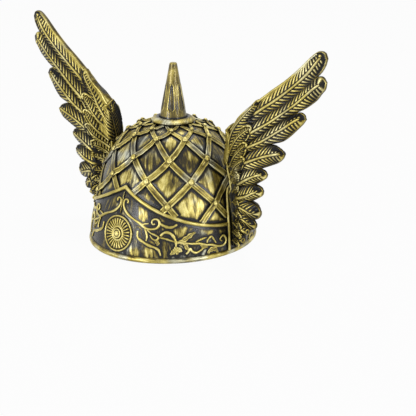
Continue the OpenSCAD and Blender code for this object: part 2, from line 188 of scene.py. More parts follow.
def ease(x, low=0.0, high=1.0):
    """Smooth step from 0 at low to 1 at high."""
    t = np.clip((np.asarray(x, float) - low) / (high - low), 0, 1)
    return t * t * (3 - 2 * t)


def bell(x, width):
    return np.exp(-((x / width) ** 2))


def unit(v):
    return v / np.maximum(np.linalg.norm(v, axis=-1, keepdims=True), 1e-12)


def reach(z):
    """The skull's half width at height z."""
    return RIM_X * np.maximum(1e-9, 1 - (np.asarray(z, float) / CROWN_Z) ** 2) ** (1 / FULLNESS)


def oval(z):
    """Length over width: an oval at the rim that turns round towards the crown."""
    return 1 + (RIM_Y / RIM_X - 1) * np.maximum(0, 1 - np.asarray(z, float) / ROUND_Z) ** 1.5


def on_shell(az, z):
    a = np.radians(az)
    r = reach(z)
    return np.stack(np.broadcast_arrays(r * np.sin(a), -r * oval(z) * np.cos(a), z), -1)


def outward(az, z):
    step = 0.25
    round_it = on_shell(az + step, z) - on_shell(az - step, z)
    up_it = on_shell(az, z + step) - on_shell(az, z - step)
    return unit(np.cross(round_it, up_it))


def skin(az, z, out):
    return on_shell(az, z) + np.asarray(out, float)[..., None] * outward(az, z)


def rise_z(rise):
    return CROWN_Z * np.sin(np.radians(rise))


def crown_at(r):
    return CROWN_Z * math.sqrt(1 - (r / RIM_X) ** FULLNESS)


def round_from_front(az):
    return np.abs((np.asarray(az, float) % 360 + 540) % 360 - 180)


def border_z(az):
    share = np.maximum(0, 1 - round_from_front(az) / (90 - FRAME_ANGLE))
    return BAND_Z + (PEAK_Z - BAND_Z) * share**SWEEP


# Meshes


def ring_faces(count, sides, closed_path=False):
    """Quads between count closed rings of sides points each."""
    i = np.arange(count if closed_path else count - 1)[:, None]
    j = np.arange(sides)[None, :]
    n, k = (i + 1) % count, (j + 1) % sides
    corners = np.broadcast_arrays(i * sides + j, i * sides + k, n * sides + k, n * sides + j)
    return np.stack(corners, -1).reshape(-1, 4).tolist()


def end_caps(count, sides):
    return [list(range(sides))[::-1], list(range((count - 1) * sides, count * sides))]


class Piece:
    """Collects points, faces, paint and stroke coordinates for one object."""

    def __init__(self):
        self.points, self.faces, self.paint, self.flow = [], [], [], []
        self.count = 0

    def add(self, points, faces, paint, flow):
        points = np.asarray(points, float).reshape(-1, 3)
        self.points.append(points)
        self.faces += [[v + self.count for v in f] for f in faces]
        self.paint.append(np.broadcast_to(np.asarray(paint, float).ravel(), (len(points),)))
        self.flow.append(np.asarray(flow, float).reshape(-1, 3))
        self.count += len(points)

    def add_rings(self, rings, paint, flow, closed_path=False):
        """Rings is an array of count by sides by 3: closed rings along a path."""
        count, sides = rings.shape[:2]
        faces = ring_faces(count, sides, closed_path)
        if not closed_path:
            faces += end_caps(count, sides)
        self.add(rings, faces, np.broadcast_to(paint, (count, sides)), flow)

    def make(self, name, material, replaced):
        points = np.concatenate(self.points) * MM
        mesh = bpy.data.meshes.new(name)
        mesh.from_pydata(points.tolist(), [], self.faces)
        paint = mesh.attributes.new("paint", "FLOAT", "POINT")
        paint.data.foreach_set("value", np.concatenate(self.paint).astype(np.float32))
        flow = mesh.attributes.new("flow", "FLOAT_VECTOR", "POINT")
        flow.data.foreach_set("vector", np.concatenate(self.flow).astype(np.float32).ravel())
        shape = bmesh.new()
        shape.from_mesh(mesh)
        bmesh.ops.remove_doubles(shape, verts=shape.verts, dist=1e-6)
        bmesh.ops.recalc_face_normals(shape, faces=shape.faces)
        shape.to_mesh(mesh)
        shape.free()
        mesh.polygons.foreach_set("use_smooth", [True] * len(mesh.polygons))
        mesh.materials.append(material)
        piece = bpy.data.objects.new(name, mesh)
        bpy.context.scene.collection.objects.link(piece)
        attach(piece, "root")
        if replaced:
            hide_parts(*replaced)
        return piece


def flow_grid(across, along, offset=0.0):
    """Stroke coordinates: millimetres across and along the brush, and an offset."""
    across, along = np.broadcast_arrays(np.asarray(across, float), np.asarray(along, float))
    return np.stack([across, along, np.full(across.shape, float(offset))], -1)


def any_offset():
    """A random offset, so that no two strips show the same strokes."""
    return rng.uniform(0, 900)


def both_halves(half):
    """A strip's section from its left half: rows of [across in widths, up in heights, paint]."""
    half = np.array(half, float)
    return np.concatenate([half, half[-2::-1] * [-1, 1, 1]]).T


BEAD = both_halves([[-0.5, -0.3, 0], [-0.48, 0.25, 0.15], [-0.4, 0.62, 0.6], [-0.25, 0.9, 0.9], [0, 1, 1]])
STRIP = both_halves([[-0.51, -0.4, 0], [-0.5, 0.2, 0.05], [-0.465, 0.75, 0.5], [-0.41, 1.04, 0.95],
                     [-0.35, 1.1, 1], [-0.295, 0.92, 0.7], [-0.2, 0.8, 0.55], [0, 0.84, 0.62]])
LEAF = both_halves([[-0.5, -0.4, 0], [-0.47, 0.3, 0.2], [-0.36, 0.66, 0.85], [-0.2, 0.6, 0.6],
                    [-0.07, 0.5, 0.3], [0, 0.95, 1]])


def lay(piece, az, z, width, height, section, lift=0.0):
    """Lays a section along a path on the skull."""
    place, out = on_shell(az, z), outward(az, z)
    side = unit(np.cross(np.gradient(place, axis=0), out))
    across, up, paint = section
    across = across * np.broadcast_to(width, len(az))[:, None]
    up = up * height + np.broadcast_to(lift, len(az))[:, None]
    rings = place[:, None] + side[:, None] * across[..., None] + out[:, None] * up[..., None]
    piece.add_rings(rings, paint, flow_grid(across, path_length(place)[:, None], any_offset()))


def revolve(piece, origin, axis, rows, sides, offset):
    """Turns rows of [radius, height, paint] round an axis; the first and last are capped."""
    helper = np.array([0, 0, 1.0]) if abs(axis[2]) < 0.9 else np.array([1.0, 0, 0])
    u = unit(np.cross(helper, axis))
    v = np.cross(axis, u)
    turn = full_turn(sides)
    round_it = np.cos(turn)[:, None] * u + np.sin(turn)[:, None] * v
    radius, height, paint = np.asarray(rows, float).T[..., None]
    rings = origin + radius[..., None] * round_it + height[..., None] * axis
    piece.add_rings(rings, paint, flow_grid(radius * turn, height + radius, offset))


def bead_along(piece, spine, radius, section, around, along):
    """A bright bead along a spine in the wing's plane; section is [half width, half depth]."""
    turn = full_turn(12)
    ring = np.stack([section[0] * np.cos(turn), section[1] * np.sin(turn), 0 * turn], -1)
    flow = flow_grid(around * turn[None], np.asarray(along)[:, None])
    piece.add_rings(spine[:, None] + radius[:, None, None] * ring, 0.95, flow)


# Materials


class Look:
    """A node tree, with one short call for each kind of node. An input of a node is a
    number, a colour or another node's output."""

    def __init__(self, owner):
        owner.use_nodes = True
        self.nodes, self.links = owner.node_tree.nodes, owner.node_tree.links
        self.nodes.clear()

    def feed(self, node, inputs):
        """Sets or links a node's inputs, and returns the node."""
        for key, value in inputs.items():
            if isinstance(value, bpy.types.NodeSocket):
                self.links.new(value, node.inputs[key])
            else:
                node.inputs[key].default_value = value
        return node

    def node(self, kind, inputs, output=0):
        return self.feed(self.nodes.new(kind), inputs).outputs[output]

    def math(self, operation, a, b):
        node = self.nodes.new("ShaderNodeMath")
        node.operation = operation
        return self.feed(node, {0: a, 1: b}).outputs[0]

    def times(self, a, b):
        return self.math("MULTIPLY", a, b)

    def plus(self, total, *terms):
        for term in terms:
            total = self.math("ADD", total, term)
        return total

    def place(self):
        return self.node("ShaderNodeTexCoord", {}, "Object")

    def attribute(self, name, output):
        node = self.nodes.new("ShaderNodeAttribute")
        node.attribute_name = name
        return node.outputs[output]

    def noise(self, vector, scale, detail, rough, stretch=(1, 1, 1)):
        scales = [scale * s for s in stretch]
        vector = self.node("ShaderNodeMapping", {"Vector": vector, "Scale": scales})
        inputs = {"Vector": vector, "Scale": 1, "Detail": detail, "Roughness": rough}
        return self.node("ShaderNodeTexNoise", inputs, "Fac")

    def ramp(self, value, stops):
        node = self.nodes.new("ShaderNodeValToRGB")
        elements = node.color_ramp.elements
        while len(elements) < len(stops):
            elements.new(0.5)
        for element, (place, colour) in zip(elements, stops):
            element.position = place
            element.color = (*colour, 1)
        return self.feed(node, {0: value}).outputs[0]

    def rescale(self, value, low, high, to_low=0.0, to_high=1.0, kind="SMOOTHSTEP"):
        node = self.nodes.new("ShaderNodeMapRange")
        node.interpolation_type = kind
        inputs = {"Value": value, "From Min": low, "From Max": high, "To Min": to_low, "To Max": to_high}
        return self.feed(node, inputs).outputs[0]

    def mix(self, factor, a, b):
        node = self.nodes.new("ShaderNodeMix")
        node.data_type = "RGBA"
        return self.feed(node, {"Factor": factor, "A": a, "B": b}).outputs["Result"]

    def bump(self, height, strength, distance):
        return self.node("ShaderNodeBump", {"Height": height, "Strength": strength, "Distance": distance})

    def seen_white(self):
        """1 for camera, glossy and transmission rays, so the backdrop shows white in them."""
        path = self.nodes.new("ShaderNodeLightPath").outputs
        both = self.math("MAXIMUM", path["Is Camera Ray"], path["Is Glossy Ray"])
        return self.math("MAXIMUM", both, path["Is Transmission Ray"])

    def end(self, shader, kind="ShaderNodeOutputMaterial"):
        """Links the shader to the tree's output."""
        self.feed(self.nodes.new(kind), {0: shader})


# From bare lacquer through thin umber to full gold, and the silvery painted reflection
PAINTS = [(0.0, (0.006, 0.006, 0.0065)), (0.16, (0.018, 0.015, 0.007)), (0.36, (0.085, 0.062, 0.011)),
          (0.58, (0.265, 0.205, 0.04)), (0.8, (0.51, 0.42, 0.11)), (1.0, (0.88, 0.79, 0.36))]
PAINTED_SHEEN_COLOURS = [(0.1, (0.008, 0.009, 0.011)), (0.5, (0.2, 0.225, 0.22)), (1, (0.8, 0.86, 0.82))]
FOAMS = [(0.3, (0.055, 0.050, 0.045)), (0.8, (0.14, 0.128, 0.115))]
# Noises: scale, detail and roughness; that of the strokes is drawn out along the brush
STROKE_NOISE = 4, 0.65, (1, 0.075, 1)
PATCH_NOISE = 60, 3, 0.55
GRAIN_NOISE = 800, 3, 0.6
# Where the silvery painted sheen, a painted reflection, shows
PAINTED_SHEEN_NOISE = 34, 2, 0.5
PAINTED_SHEEN_RANGE = 0.51, 0.66
CELL_NOISE = 1500, 2, 0.6
WEAR_NOISE = 60, 3, 0.5
FLOOR_NOISE = 30, 2, 0.5


def antique(name, streak=0.7, patch=0.5, fine=0.9, edge=(0.2, 0.85), metal=0.88, gold_rough=0.38,
            dark_rough=0.24, bump=0.25, body=0.52, gain=0.62, coat=0.1, gloss=0.3, painted_sheen=0.0):
    """Gold paint dragged over black lacquer: it stays on what stands proud. Streak and patch
    break it up, edge is where it starts and is full, body and gain are its level and contrast."""
    material = bpy.data.materials.new(name)
    look = Look(material)
    place = look.place()
    strokes = look.noise(look.attribute("flow", "Vector"), fine, *STROKE_NOISE)
    patches = look.noise(place, *PATCH_NOISE)
    grain = look.noise(place, *GRAIN_NOISE)
    broken = look.plus(look.times(strokes, streak), look.times(patches, patch), -0.5 * (streak + patch))
    mask = look.rescale(look.plus(broken, look.attribute("paint", "Fac")), *edge)
    mottle = look.plus(look.times(strokes, 0.5), look.times(patches, 0.5), look.times(grain, 0.25))
    level = look.times(mask, look.plus(look.times(mottle, gain * 1.6), body - 0.5 * gain))
    # Silvery patches of painted sheen: a painted reflection of the lamps on the lacquer
    painted_sheen_mask = look.rescale(look.noise(place, *PAINTED_SHEEN_NOISE), *PAINTED_SHEEN_RANGE, 0, painted_sheen)
    rough = look.rescale(mask, 0, 1, dark_rough, gold_rough, "LINEAR")
    height = look.plus(look.times(mask, 0.6), look.times(grain, 0.5), look.times(strokes, 0.8))
    normal = look.bump(height, bump, 0.0005)
    look.end(look.node("ShaderNodeBsdfPrincipled", {
        "Base Color": look.mix(painted_sheen_mask, look.ramp(level, PAINTS), look.ramp(level, PAINTED_SHEEN_COLOURS)),
        "Metallic": look.times(mask, metal),
        "Roughness": look.plus(rough, look.times(grain, 0.12)),
        "Specular IOR Level": gloss,
        "Coat Weight": coat,
        "Coat Roughness": 0.2,
        "Normal": normal,
        "Coat Normal": normal,
    }))
    return material


def foam(name):
    """Grey foam with a short nap and a soft sheen."""
    material = bpy.data.materials.new(name)
    look = Look(material)
    place = look.place()
    cells = look.noise(place, *CELL_NOISE)
    tone = look.plus(look.times(cells, 0.6), look.times(look.noise(place, *WEAR_NOISE), 0.5))
    look.end(look.node("ShaderNodeBsdfPrincipled", {
        "Base Color": look.ramp(tone, FOAMS),
        "Roughness": 0.95,
        "Sheen Weight": 0.35,
        "Sheen Roughness": 0.5,
        "Normal": look.bump(cells, 0.5, 0.0006),
    }))
    return material


SHELL = antique("brushed_panels", streak=1.5, patch=0.7, fine=1.3, edge=(0.1, 1.1), metal=0.8,
                gold_rough=0.34, dark_rough=0.22, bump=0.3, coat=0.25, gloss=0.25, painted_sheen=0.7)
GOLD = antique("antique_gold", streak=0.8, patch=0.6, edge=(0.1, 0.8))
STRAP = antique("strap_gold", streak=0.75, patch=0.6, edge=(0.1, 0.9), painted_sheen=0.5)
BRIGHT = antique("bright_gold", streak=0.5, edge=(0.05, 0.75))
FEATHER = antique("feather_gold", streak=0.5, fine=1.2, edge=(-0.22, 0.95), body=0.56, gain=0.56,
                  coat=0, gloss=0.2, painted_sheen=0.2)
SPIKE = antique("spike_gold", streak=1.0, patch=0.7, fine=0.7, edge=(0.05, 1.1), coat=0.4)
INNER = antique("dark_inside", streak=0.5, patch=0.3, edge=(0.9, 1.3), dark_rough=0.34)
FOAM = foam("liner_foam")


# The strap lattice: r counts rows from the collar down


def strap_az(lane, lean, r):
    return (2 * lane + lean * r) * HALF_PITCH


def strap_z(r):
    return rise_z(curve(ROW_RISE, np.asarray(r) + 1))


def strap_w_at(r):
    return STRAP_W * (CROWN_TAPER + (1 - CROWN_TAPER) * np.minimum(1, (r + 1) / 3.2))


def in_lattice(az, z):
    """Whether a place lies above the border and outside the wing frames."""
    arch = (np.abs(round_from_front(az) - 90) / (FRAME_ANGLE + FRAME_BEAD_ANGLE)) ** 4
    arch += (z / (FRAME_Z + FRAME_BEAD_W / 2)) ** 4
    return (z > border_z(az) + BORDER_W / 2) & (arch > 1)


def strap_rows(lane, lean):
    """Rows from the collar down to where a strap runs into the border or a frame."""
    r = np.arange(-0.8, 5, 0.01)
    z = strap_z(r)
    start = np.argmax(z < crown_at(COLLAR_R + 0.3))
    inside = in_lattice(strap_az(lane, lean, r), z) | (r < 1)
    end = np.argmax(~inside)
    return np.linspace(r[start], r[end] + 0.01, 150)


def strap_lift(r):
    """How far an upper strap rides up near each crossing."""
    away = np.abs(r - np.round(r))
    return STRAP_T * (1 - ease(away, 0.13, 0.29))


def make_strap(lane, lean):
    """Makes one strap, and returns its middle line and half width."""
    r = strap_rows(lane, lean)
    az, z = strap_az(lane, lean, r), strap_z(r)
    wave = 1 + 0.03 * np.sin(r * 5 + lane) + 0.02 * np.sin(r * 13 + 2 * lane)
    piece = Piece()
    lay(piece, az, z, strap_w_at(r) * wave, STRAP_T, STRIP, strap_lift(r) if lean < 0 else 0.0)
    node = f"{'under' if lean > 0 else 'over'}_strap_{lane + 1}"
    piece.make(f"{node}_band", STRAP, [node])
    return on_shell(az, z), strap_w_at(r) / 2


# A stud's head on its washer: [share of the radius, height before scaling, paint]
STUD = np.array([[1.12, 0, 0], [1.1, 0.45, 0.35], [1, 0.55, 0.5], [0.93, 0.5, 0.05], [0.93, 0.9, 0.25],
                 [0.8, 1.45, 0.9], [0.55, 1.95, 1], [0.28, 2.2, 1], [0.05, 2.28, 1]])


def make_studs(node, row):
    z = rise_z(ROW_RISE[row])
    piece = Piece()
    for i in range(LANES):
        az = (2 * i + (row + 1) % 2) * HALF_PITCH
        if not in_lattice(az, z):
            continue
        size = (CROWN_STUD if row == 1 else 1) + rng.uniform(-0.05, 0.05)
        rows = STUD * [STUD_R * size, (STUD_H + STUD_SINK) / STUD[-1, 1], 1]
        revolve(piece, skin(az, z, 2 * STRAP_T - STUD_SINK), outward(az, z), rows, 24, any_offset())
    piece.make(f"{node}_heads", BRIGHT, [node])


# Border, rim and wing frames


def edge_angle(z):
    return FRAME_ANGLE * np.maximum(0, 1 - (z / FRAME_Z) ** 4) ** 0.25


def border_paths():
    """Azimuths along the border in front and behind, from one wing frame to the other."""
    stop = 90 - edge_angle(BAND_Z) - FRAME_BEAD_ANGLE
    i = np.linspace(-1, 1, 201)
    return np.sign(i) * stop * np.abs(i) ** 1.2, 180 + np.linspace(-1, 1, 141) * stop


def make_border():
    piece = Piece()
    for az in border_paths():
        wave = 1 + 0.04 * np.sin(az * 0.35) + 0.03 * np.sin(az * 0.9 + 1)
        mitre = 1 + 0.14 * bell(round_from_front(az), 1.2)
        lay(piece, az, border_z(az), BORDER_W * wave * mitre, BORDER_H, BEAD)
    piece.make("brow_border_bead", GOLD, ["brow_border"])


def frame_path(side):
    """Azimuths and heights up and down the arch round a wing's root."""
    low = math.asin((BEAD_H * 0.8 / FRAME_Z) ** 2)
    a = np.linspace(low, math.pi - low, 160)
    az = side * (90 - np.sign(np.cos(a)) * FRAME_ANGLE * np.sqrt(np.abs(np.cos(a))))
    return az, FRAME_Z * np.sqrt(np.sin(a))


def make_frame(side, node):
    piece = Piece()
    az, z = smooth_path(np.stack(frame_path(side), 1)[::4], 160)
    wave = 1 + 0.04 * np.sin(np.linspace(0, 40, 160))
    lay(piece, az, z, FRAME_BEAD_W * wave, FRAME_BEAD_H, BEAD)
    piece.make(f"{node}_bead", GOLD, [node])


def make_rim():
    """A roll round the rim, a little uneven on top and flat underneath."""
    piece = Piece()
    az = np.linspace(0, 360, 480, endpoint=False)[:, None]
    turn = np.linspace(-0.5, 0.5, 13) * math.pi
    roll = np.stack([np.cos(turn), 0.5 + 0.5 * np.sin(turn), 0.36 + 0.4 * np.cos(turn)], 1)
    roll[0, 2] = 0.2
    out, up, paint = np.concatenate([[[0.2, 0, 0]], roll, [[0.15, 1, 0]]]).T
    rings = skin(az, up * BEAD_H + 0 * az, BEAD_OUT * (out - 0.02) + 0 * az)
    rings[..., 2] = np.maximum(0, up * BEAD_H + 0.25 * np.sin(np.radians(az * 7)) * (up > 0.8))
    flow = flow_grid(0.8 * np.arange(len(out)), np.radians(az) * RIM_X)
    piece.add_rings(rings, paint, flow, True)
    piece.make("rim_bead_roll", STRAP, ["rim_bead"])


# Rosette: rows of [share of the radius, height, a petal's height, paint]
DISC = [[1.0, -0.3, 0, 0], [1.0, 0.35, 0, 0.2], [0.985, 0.75, 0, 0.7], [0.955, 1.0, 0, 0.85],
        [0.925, 1.0, 0, 0.85], [0.9, 0.75, 0, 0.5], [0.865, 0.3, 0, 0.1], [0.84, 0.2, 0.15, 0.1],
        [0.82, 0.2, 0.6, 0.1], [0.78, 0.2, 0.8, 0.1], [0.65, 0.2, 0.75, 0.08], [0.52, 0.2, 0.6, 0.06],
        [0.45, 0.25, 0.3, 0.1], [0.42, 0.5, 0, 0.6], [0.39, 0.8, 0, 1], [0.345, 0.8, 0, 1],
        [0.31, 0.45, 0, 0.4], [0.28, 0.3, 0, 0], [0.15, 0.3, 0, 0]]
# Its hub: rows of [share of the radius, height, paint]
HUB = [[1.0, -1.2, 0], [1.0, 0.3, 0.2], [0.93, 0.9, 0.9], [0.82, 1.2, 1], [0.72, 1.0, 0.7],
       [0.64, 0.5, 0.05], [0.56, 0.6, 0.2], [0.5, 1.3, 0.9], [0.36, 1.9, 1], [0.18, 2.15, 1], [0.02, 2.2, 1]]


def polar_on_brow(radius, turn, out):
    """A point round the rosette's centre, laid on the skull."""
    az = np.degrees(radius * np.cos(turn) / RIM_X)
    return skin(az, ROSETTE_Z + radius * np.sin(turn), out)


def make_rosette():
    piece = Piece()
    turn = full_turn(PETALS * 10)
    crest = ease(np.abs(np.cos(turn * PETALS / 2)), 0.5, 0.9)
    radius, base, petal, gold = np.array(DISC).T[..., None]
    radius = radius * ROSETTE_R
    rings = polar_on_brow(radius, turn, ROSETTE_H * (base + petal * crest))
    paint = np.clip(gold + 0.78 * crest * (petal > 0.2), 0, 1)
    piece.add_rings(rings, paint, flow_grid(turn * radius, radius))
    piece.make("rosette_disc", BRIGHT, ["rosette"])
    hub = Piece()
    base = skin(0, ROSETTE_Z, 0.75 * ROSETTE_H)
    revolve(hub, base, outward(0, ROSETTE_Z), np.array(HUB) * [HUB_R, 1, 1], 36, 40)
    hub.make("rosette_boss", BRIGHT, ["rosette_hub"])


# Scrollwork: each route of [azimuth, height] on the wearer's left of the brow, and its width
STEMS = {
    "peak": ([[4.7, 64.8], [5.3, 66.8], [4, 68.6], [2.2, 68], [1.4, 65.4], [1.8, 61], [3.6, 56.6],
              [7.2, 52], [11.6, 48.7], [16.6, 45], [20.9, 40.8], [23.7, 39.4], [27, 39.6], [29.8, 41.3],
              [31.2, 45.2], [30.5, 49.3], [28.4, 51], [26.3, 49.8], [25.7, 47], [26.8, 44.9],
              [28.1, 45.8]], 2.8),
    "twig": ([[18.5, 43.6], [21.1, 44.8], [23.7, 45.5]], 1.9),
    "tail": ([[31.7, 46.1], [34.4, 43.9], [37.6, 42.2], [40.8, 42.8], [43.4, 45.3]], 3.2),
    "fork": ([[21.2, 39.4], [22.5, 34.8], [23.2, 30.2], [22.9, 25.9]], 2.4),
    "tendril": ([[16.1, 36.3], [16.1, 32.4], [16.8, 28.4], [20.6, 24.3], [25.5, 20.6], [29.2, 18.9],
                 [32.1, 15.5], [33.6, 9.5]], 3),
    "loop": ([[23, 38.4], [25.8, 35], [28.8, 33.2], [31.4, 30.5], [29.8, 27.4], [27.2, 28.6],
              [25.2, 32.8]], 2.1),
    "arch": ([[32.6, 32], [34, 35], [36.4, 36.6], [39.3, 35.1], [41.5, 31.2], [43.1, 25.7],
              [43.4, 20]], 3.2),
    "link": ([[32.3, 30.4], [36, 29.2], [39.7, 27.1], [43, 25.1]], 2.2),
    "vine": ([[44.2, 25.1], [51.3, 22.9], [55.6, 21.7], [59.4, 21.3], [63.9, 18.8], [68.3, 17.5],
              [72.5, 14.7], [77.3, 13.8], [79.6, 17], [79.6, 21.8], [77.7, 25.6], [75.5, 24.2],
              [74.7, 21.5], [76.3, 19.2]], 2.8),
    "spray": ([[56.7, 23.8], [59.4, 25.5], [64.1, 27.6]], 2.3),
    "heart": ([[64.7, 20.9], [65.4, 24.5], [68, 27.4], [69.9, 23.4], [71.5, 18.8]], 2.1),
    "hook": ([[50.4, 10.5], [52, 13.2], [52.9, 16.5], [54.4, 13.3], [57.1, 11], [59.8, 12.7],
              [62.6, 16.1]], 2.6),
    "seam": ([[0, 76], [0, 70], [0, 64], [0, 58], [0, 52]], 1.0),
}
LEAVES = [
    ([[43.4, 20], [42.8, 15.4], [41.2, 12.6], [39.9, 10.7]], 4.4),
    ([[43.7, 19.4], [44.2, 14.2], [44.4, 10.6]], 4.8),
    ([[44, 18.4], [45.7, 16], [47.6, 14]], 4.2),
    ([[44.8, 24.6], [48.7, 27.6], [52.6, 31.7], [56.4, 35.4]], 4.4),
    ([[43.8, 24.4], [47.4, 24.8], [51.2, 20.9]], 4),
    ([[49.4, 21.4], [50.4, 18.7], [51.6, 15.2]], 3.6),
    ([[65.8, 7.4], [67.2, 11.4], [70.9, 11.4], [73.3, 6.6]], 4.2),
    ([[29, 27.2], [31, 24.2], [30.8, 21]], 3.4),
    ([[60, 20.6], [62.2, 17.4], [65.4, 15.6]], 3.4),
]
REAR_STEMS = [
    ([[175, 26], [166, 21], [157, 17], [147, 20], [140, 27], [132, 31], [126, 27], [128, 21.5],
      [132, 23]], 3.2),
    ([[174, 31], [169.5, 33.6], [166, 30], [168.6, 27.4], [171.4, 29]], 2.6),
]
REAR_LEAVES = [([[158, 19], [154, 25], [149, 30]], 5), ([[150, 17.5], [144, 13.6], [138, 12.4]], 5)]
REAR_KEYS = ("vine", "spray", "heart", "hook")
VINE_LEAVES = LEAVES[3:7]


def behind(routes):
    """The same routes on the rear of the brow."""
    return [([[180 - az, z] for az, z in route], width) for route, width in routes]


def stem(piece, route, width, side):
    count = max(14, 7 * len(route))
    az, z = smooth_path(route, count)
    s = np.linspace(0, 1, count)
    grow = 0.5 + 0.5 * np.sin(np.pi * np.clip(0.12 + 0.8 * s, 0, 1)) + 0.12 * np.sin(s * 23 + len(route))
    lay(piece, side * az, z, STEM_BOLD * width * grow, STEM_H, BEAD)


def leaf(piece, route, width, side):
    az, z = smooth_path(route, 26)
    s = np.linspace(0, 1, 26)
    grow = np.sin(np.pi * np.clip(s * 0.93 + 0.05, 0, 1)) ** 0.7 * (1 + 0.22 * np.sin(s * 21))
    lay(piece, side * az, z, LEAF_BOLD * width * np.maximum(0.12, grow), LEAF_H, LEAF)


def make_scrolls(side, end):
    rear = [(stem, behind([STEMS[key] for key in REAR_KEYS])), (leaf, behind(VINE_LEAVES)),
            (stem, REAR_STEMS), (leaf, REAR_LEAVES)]
    for where, groups in (("front", [(stem, STEMS.values()), (leaf, LEAVES)]), ("rear", rear)):
        piece = Piece()
        for draw, routes in groups:
            for route, width in routes:
                draw(piece, route, width, side)
        node = f"{where}_scroll_{end}"
        piece.make(f"{node}_relief", GOLD, [node])


# Crown


def make_collar():
    """A ring whose top rises towards the spike."""
    low, high = crown_at(COLLAR_R) + 0.6, COLLAR_TOP
    middle, wide = (COLLAR_R + SPIKE_R + 0.3) / 2, (COLLAR_R - SPIKE_R - 0.3) / 2
    turn = np.linspace(-0.45, 0.93, 20) * math.pi
    height = (low + high) / 2 + (high - low) / 2 * np.sin(turn)
    height += COLLAR_RISE * ease(-np.cos(turn), -0.7, 0.7)
    gold = 0.2 + 0.6 * np.maximum(0, np.sin(turn + 0.75))
    roll = np.stack([middle + wide * np.cos(turn), height, gold], 1)
    rows = [[BORE_R, crown_at(BORE_R) + 0.3, 0], [COLLAR_R - 5, low + 0.7, 0], *roll,
            [SPIKE_R + 0.1, low + 1.4, 0], [BORE_R, low + 1.2, 0]]
    piece = Piece()
    revolve(piece, np.zeros(3), [0, 0, 1], rows, 160, 10)
    piece.make("crown_collar_ring", STRAP, ["crown_collar"])


# Rings of the spike's round tip: [share of its radius, height below its top, paint]
TIP = np.array([[0.99, 1.5, 0.9], [0.86, 0.6, 0.9], [0.62, 0.15, 0.8], [0.3, 0, 0.8], [0.02, 0, 0.8]])


def make_spike():
    """A cone with long flutes, each sunk and outlined by a dark line and a bright lip."""
    low = COLLAR_TOP - 0.2
    length = SPIKE_TOP - low
    foot, top = FLUTE_SPAN[0] * length, FLUTE_SPAN[1] * length
    turn = full_turn(192)
    h = np.concatenate([[0, 0.6, 1.2], np.linspace(2, length - 2.2, 90)])[:, None]
    cone = SPIKE_R + (SPIKE_TIP_R - SPIKE_R) * np.maximum(0, h - 0.8) / (length - 3)
    across = np.abs(((turn - FLUTE_TURN + FLUTE_STEP / 2) % FLUTE_STEP - FLUTE_STEP / 2) * cone)
    round_foot = np.sqrt(1 - (1 - np.clip((h - foot) / FLUTE_W, 0, 1)) ** 2)
    half = (FLUTE_W - FLUTE_TAPER * ease(h, foot, top)) * round_foot * (1 - ease(h, top - 4, top))
    fluted = half > 0.3
    inside = fluted * (1 - ease(across, half * 0.72, half + 0.25))
    lip = fluted * bell(across - half - 0.5, 0.55)
    dark = fluted * bell(across - half * 0.84, 0.5)
    # The lowest 3 mm are darker: painted shade where the spike stands in the collar
    gold = np.clip(0.62 - 0.04 * inside - 0.9 * dark + 0.75 * lip - 0.5 * (h < 3), 0, 1)
    share, below, tip_gold = TIP.T[..., None] + 0 * turn
    radius = np.concatenate([cone - FLUTE_DEEP * inside + FLUTE_LIP * lip, SPIKE_TIP_R * share])
    height = low + np.concatenate([h + 0 * turn, length - below])
    rings = np.stack([radius * np.sin(turn), -radius * np.cos(turn), height], -1)
    piece = Piece()
    piece.add_rings(rings, np.concatenate([gold, tip_gold]), flow_grid(turn * 10, height))
    piece.make("crown_spike_cone", SPIKE, ["crown_spike"])


def make_socket():
    roof, low = SOCKET_TOP - 0.4, SOCKET_LOW
    profile = [[BORE_R, roof], [SOCKET_R - 0.3, roof - 1.2], [SOCKET_R, low + 1.6],
               [SOCKET_R - 0.8, low + 0.4], [SOCKET_R - 2, low], [BORE_R + 2.4, low],
               [BORE_R + 1.2, low + 0.7], [BORE_R + 0.2, low + 0.9], [BORE_R, low + 1.4]]
    piece = Piece()
    revolve(piece, np.zeros(3), [0, 0, 1], [[r, h, 0.1] for r, h in profile], 120, 10)
    piece.make("socket_ring_rim", INNER, ["socket_ring"])


# The moulded skull


def nearest_relief(grid, lines):
    """Distance from each grid point to the edge of the nearest raised line."""
    centres = np.concatenate([p for p, _ in lines])
    halves = np.concatenate([np.broadcast_to(h, len(p)) for p, h in lines])
    tree = kdtree.KDTree(len(centres))
    for i, c in enumerate(centres):
        tree.insert(Vector(c), i)
    tree.balance()
    found = [tree.find(Vector(p)) for p in grid.reshape(-1, 3)]
    return np.array([d - halves[i] for _, i, d in found]).reshape(grid.shape[:-1])


def bead_lines():
    """Middle lines and half widths of the border and the wing frames."""
    lines = [(on_shell(az, border_z(az)), BORDER_W / 2) for az in border_paths()]
    return lines + [(on_shell(*frame_path(side)), FRAME_BEAD_W / 2) for side in (1, -1)]


def scroll_lines():
    """Middle lines and half widths of the scrollwork and the rosette's rim."""
    routes = [*STEMS.values(), *LEAVES, *behind([STEMS["vine"], *VINE_LEAVES]), *REAR_STEMS, *REAR_LEAVES]
    lines = []
    for side in (1, -1):
        for route, width in routes:
            az, z = smooth_path(route, 40)
            lines.append((on_shell(side * az, z), STEM_BOLD * width / 2))
    turn = np.linspace(0, 2 * math.pi, 160)
    return lines + [(polar_on_brow(ROSETTE_R - 1, turn, 0 * turn), 1.0)]


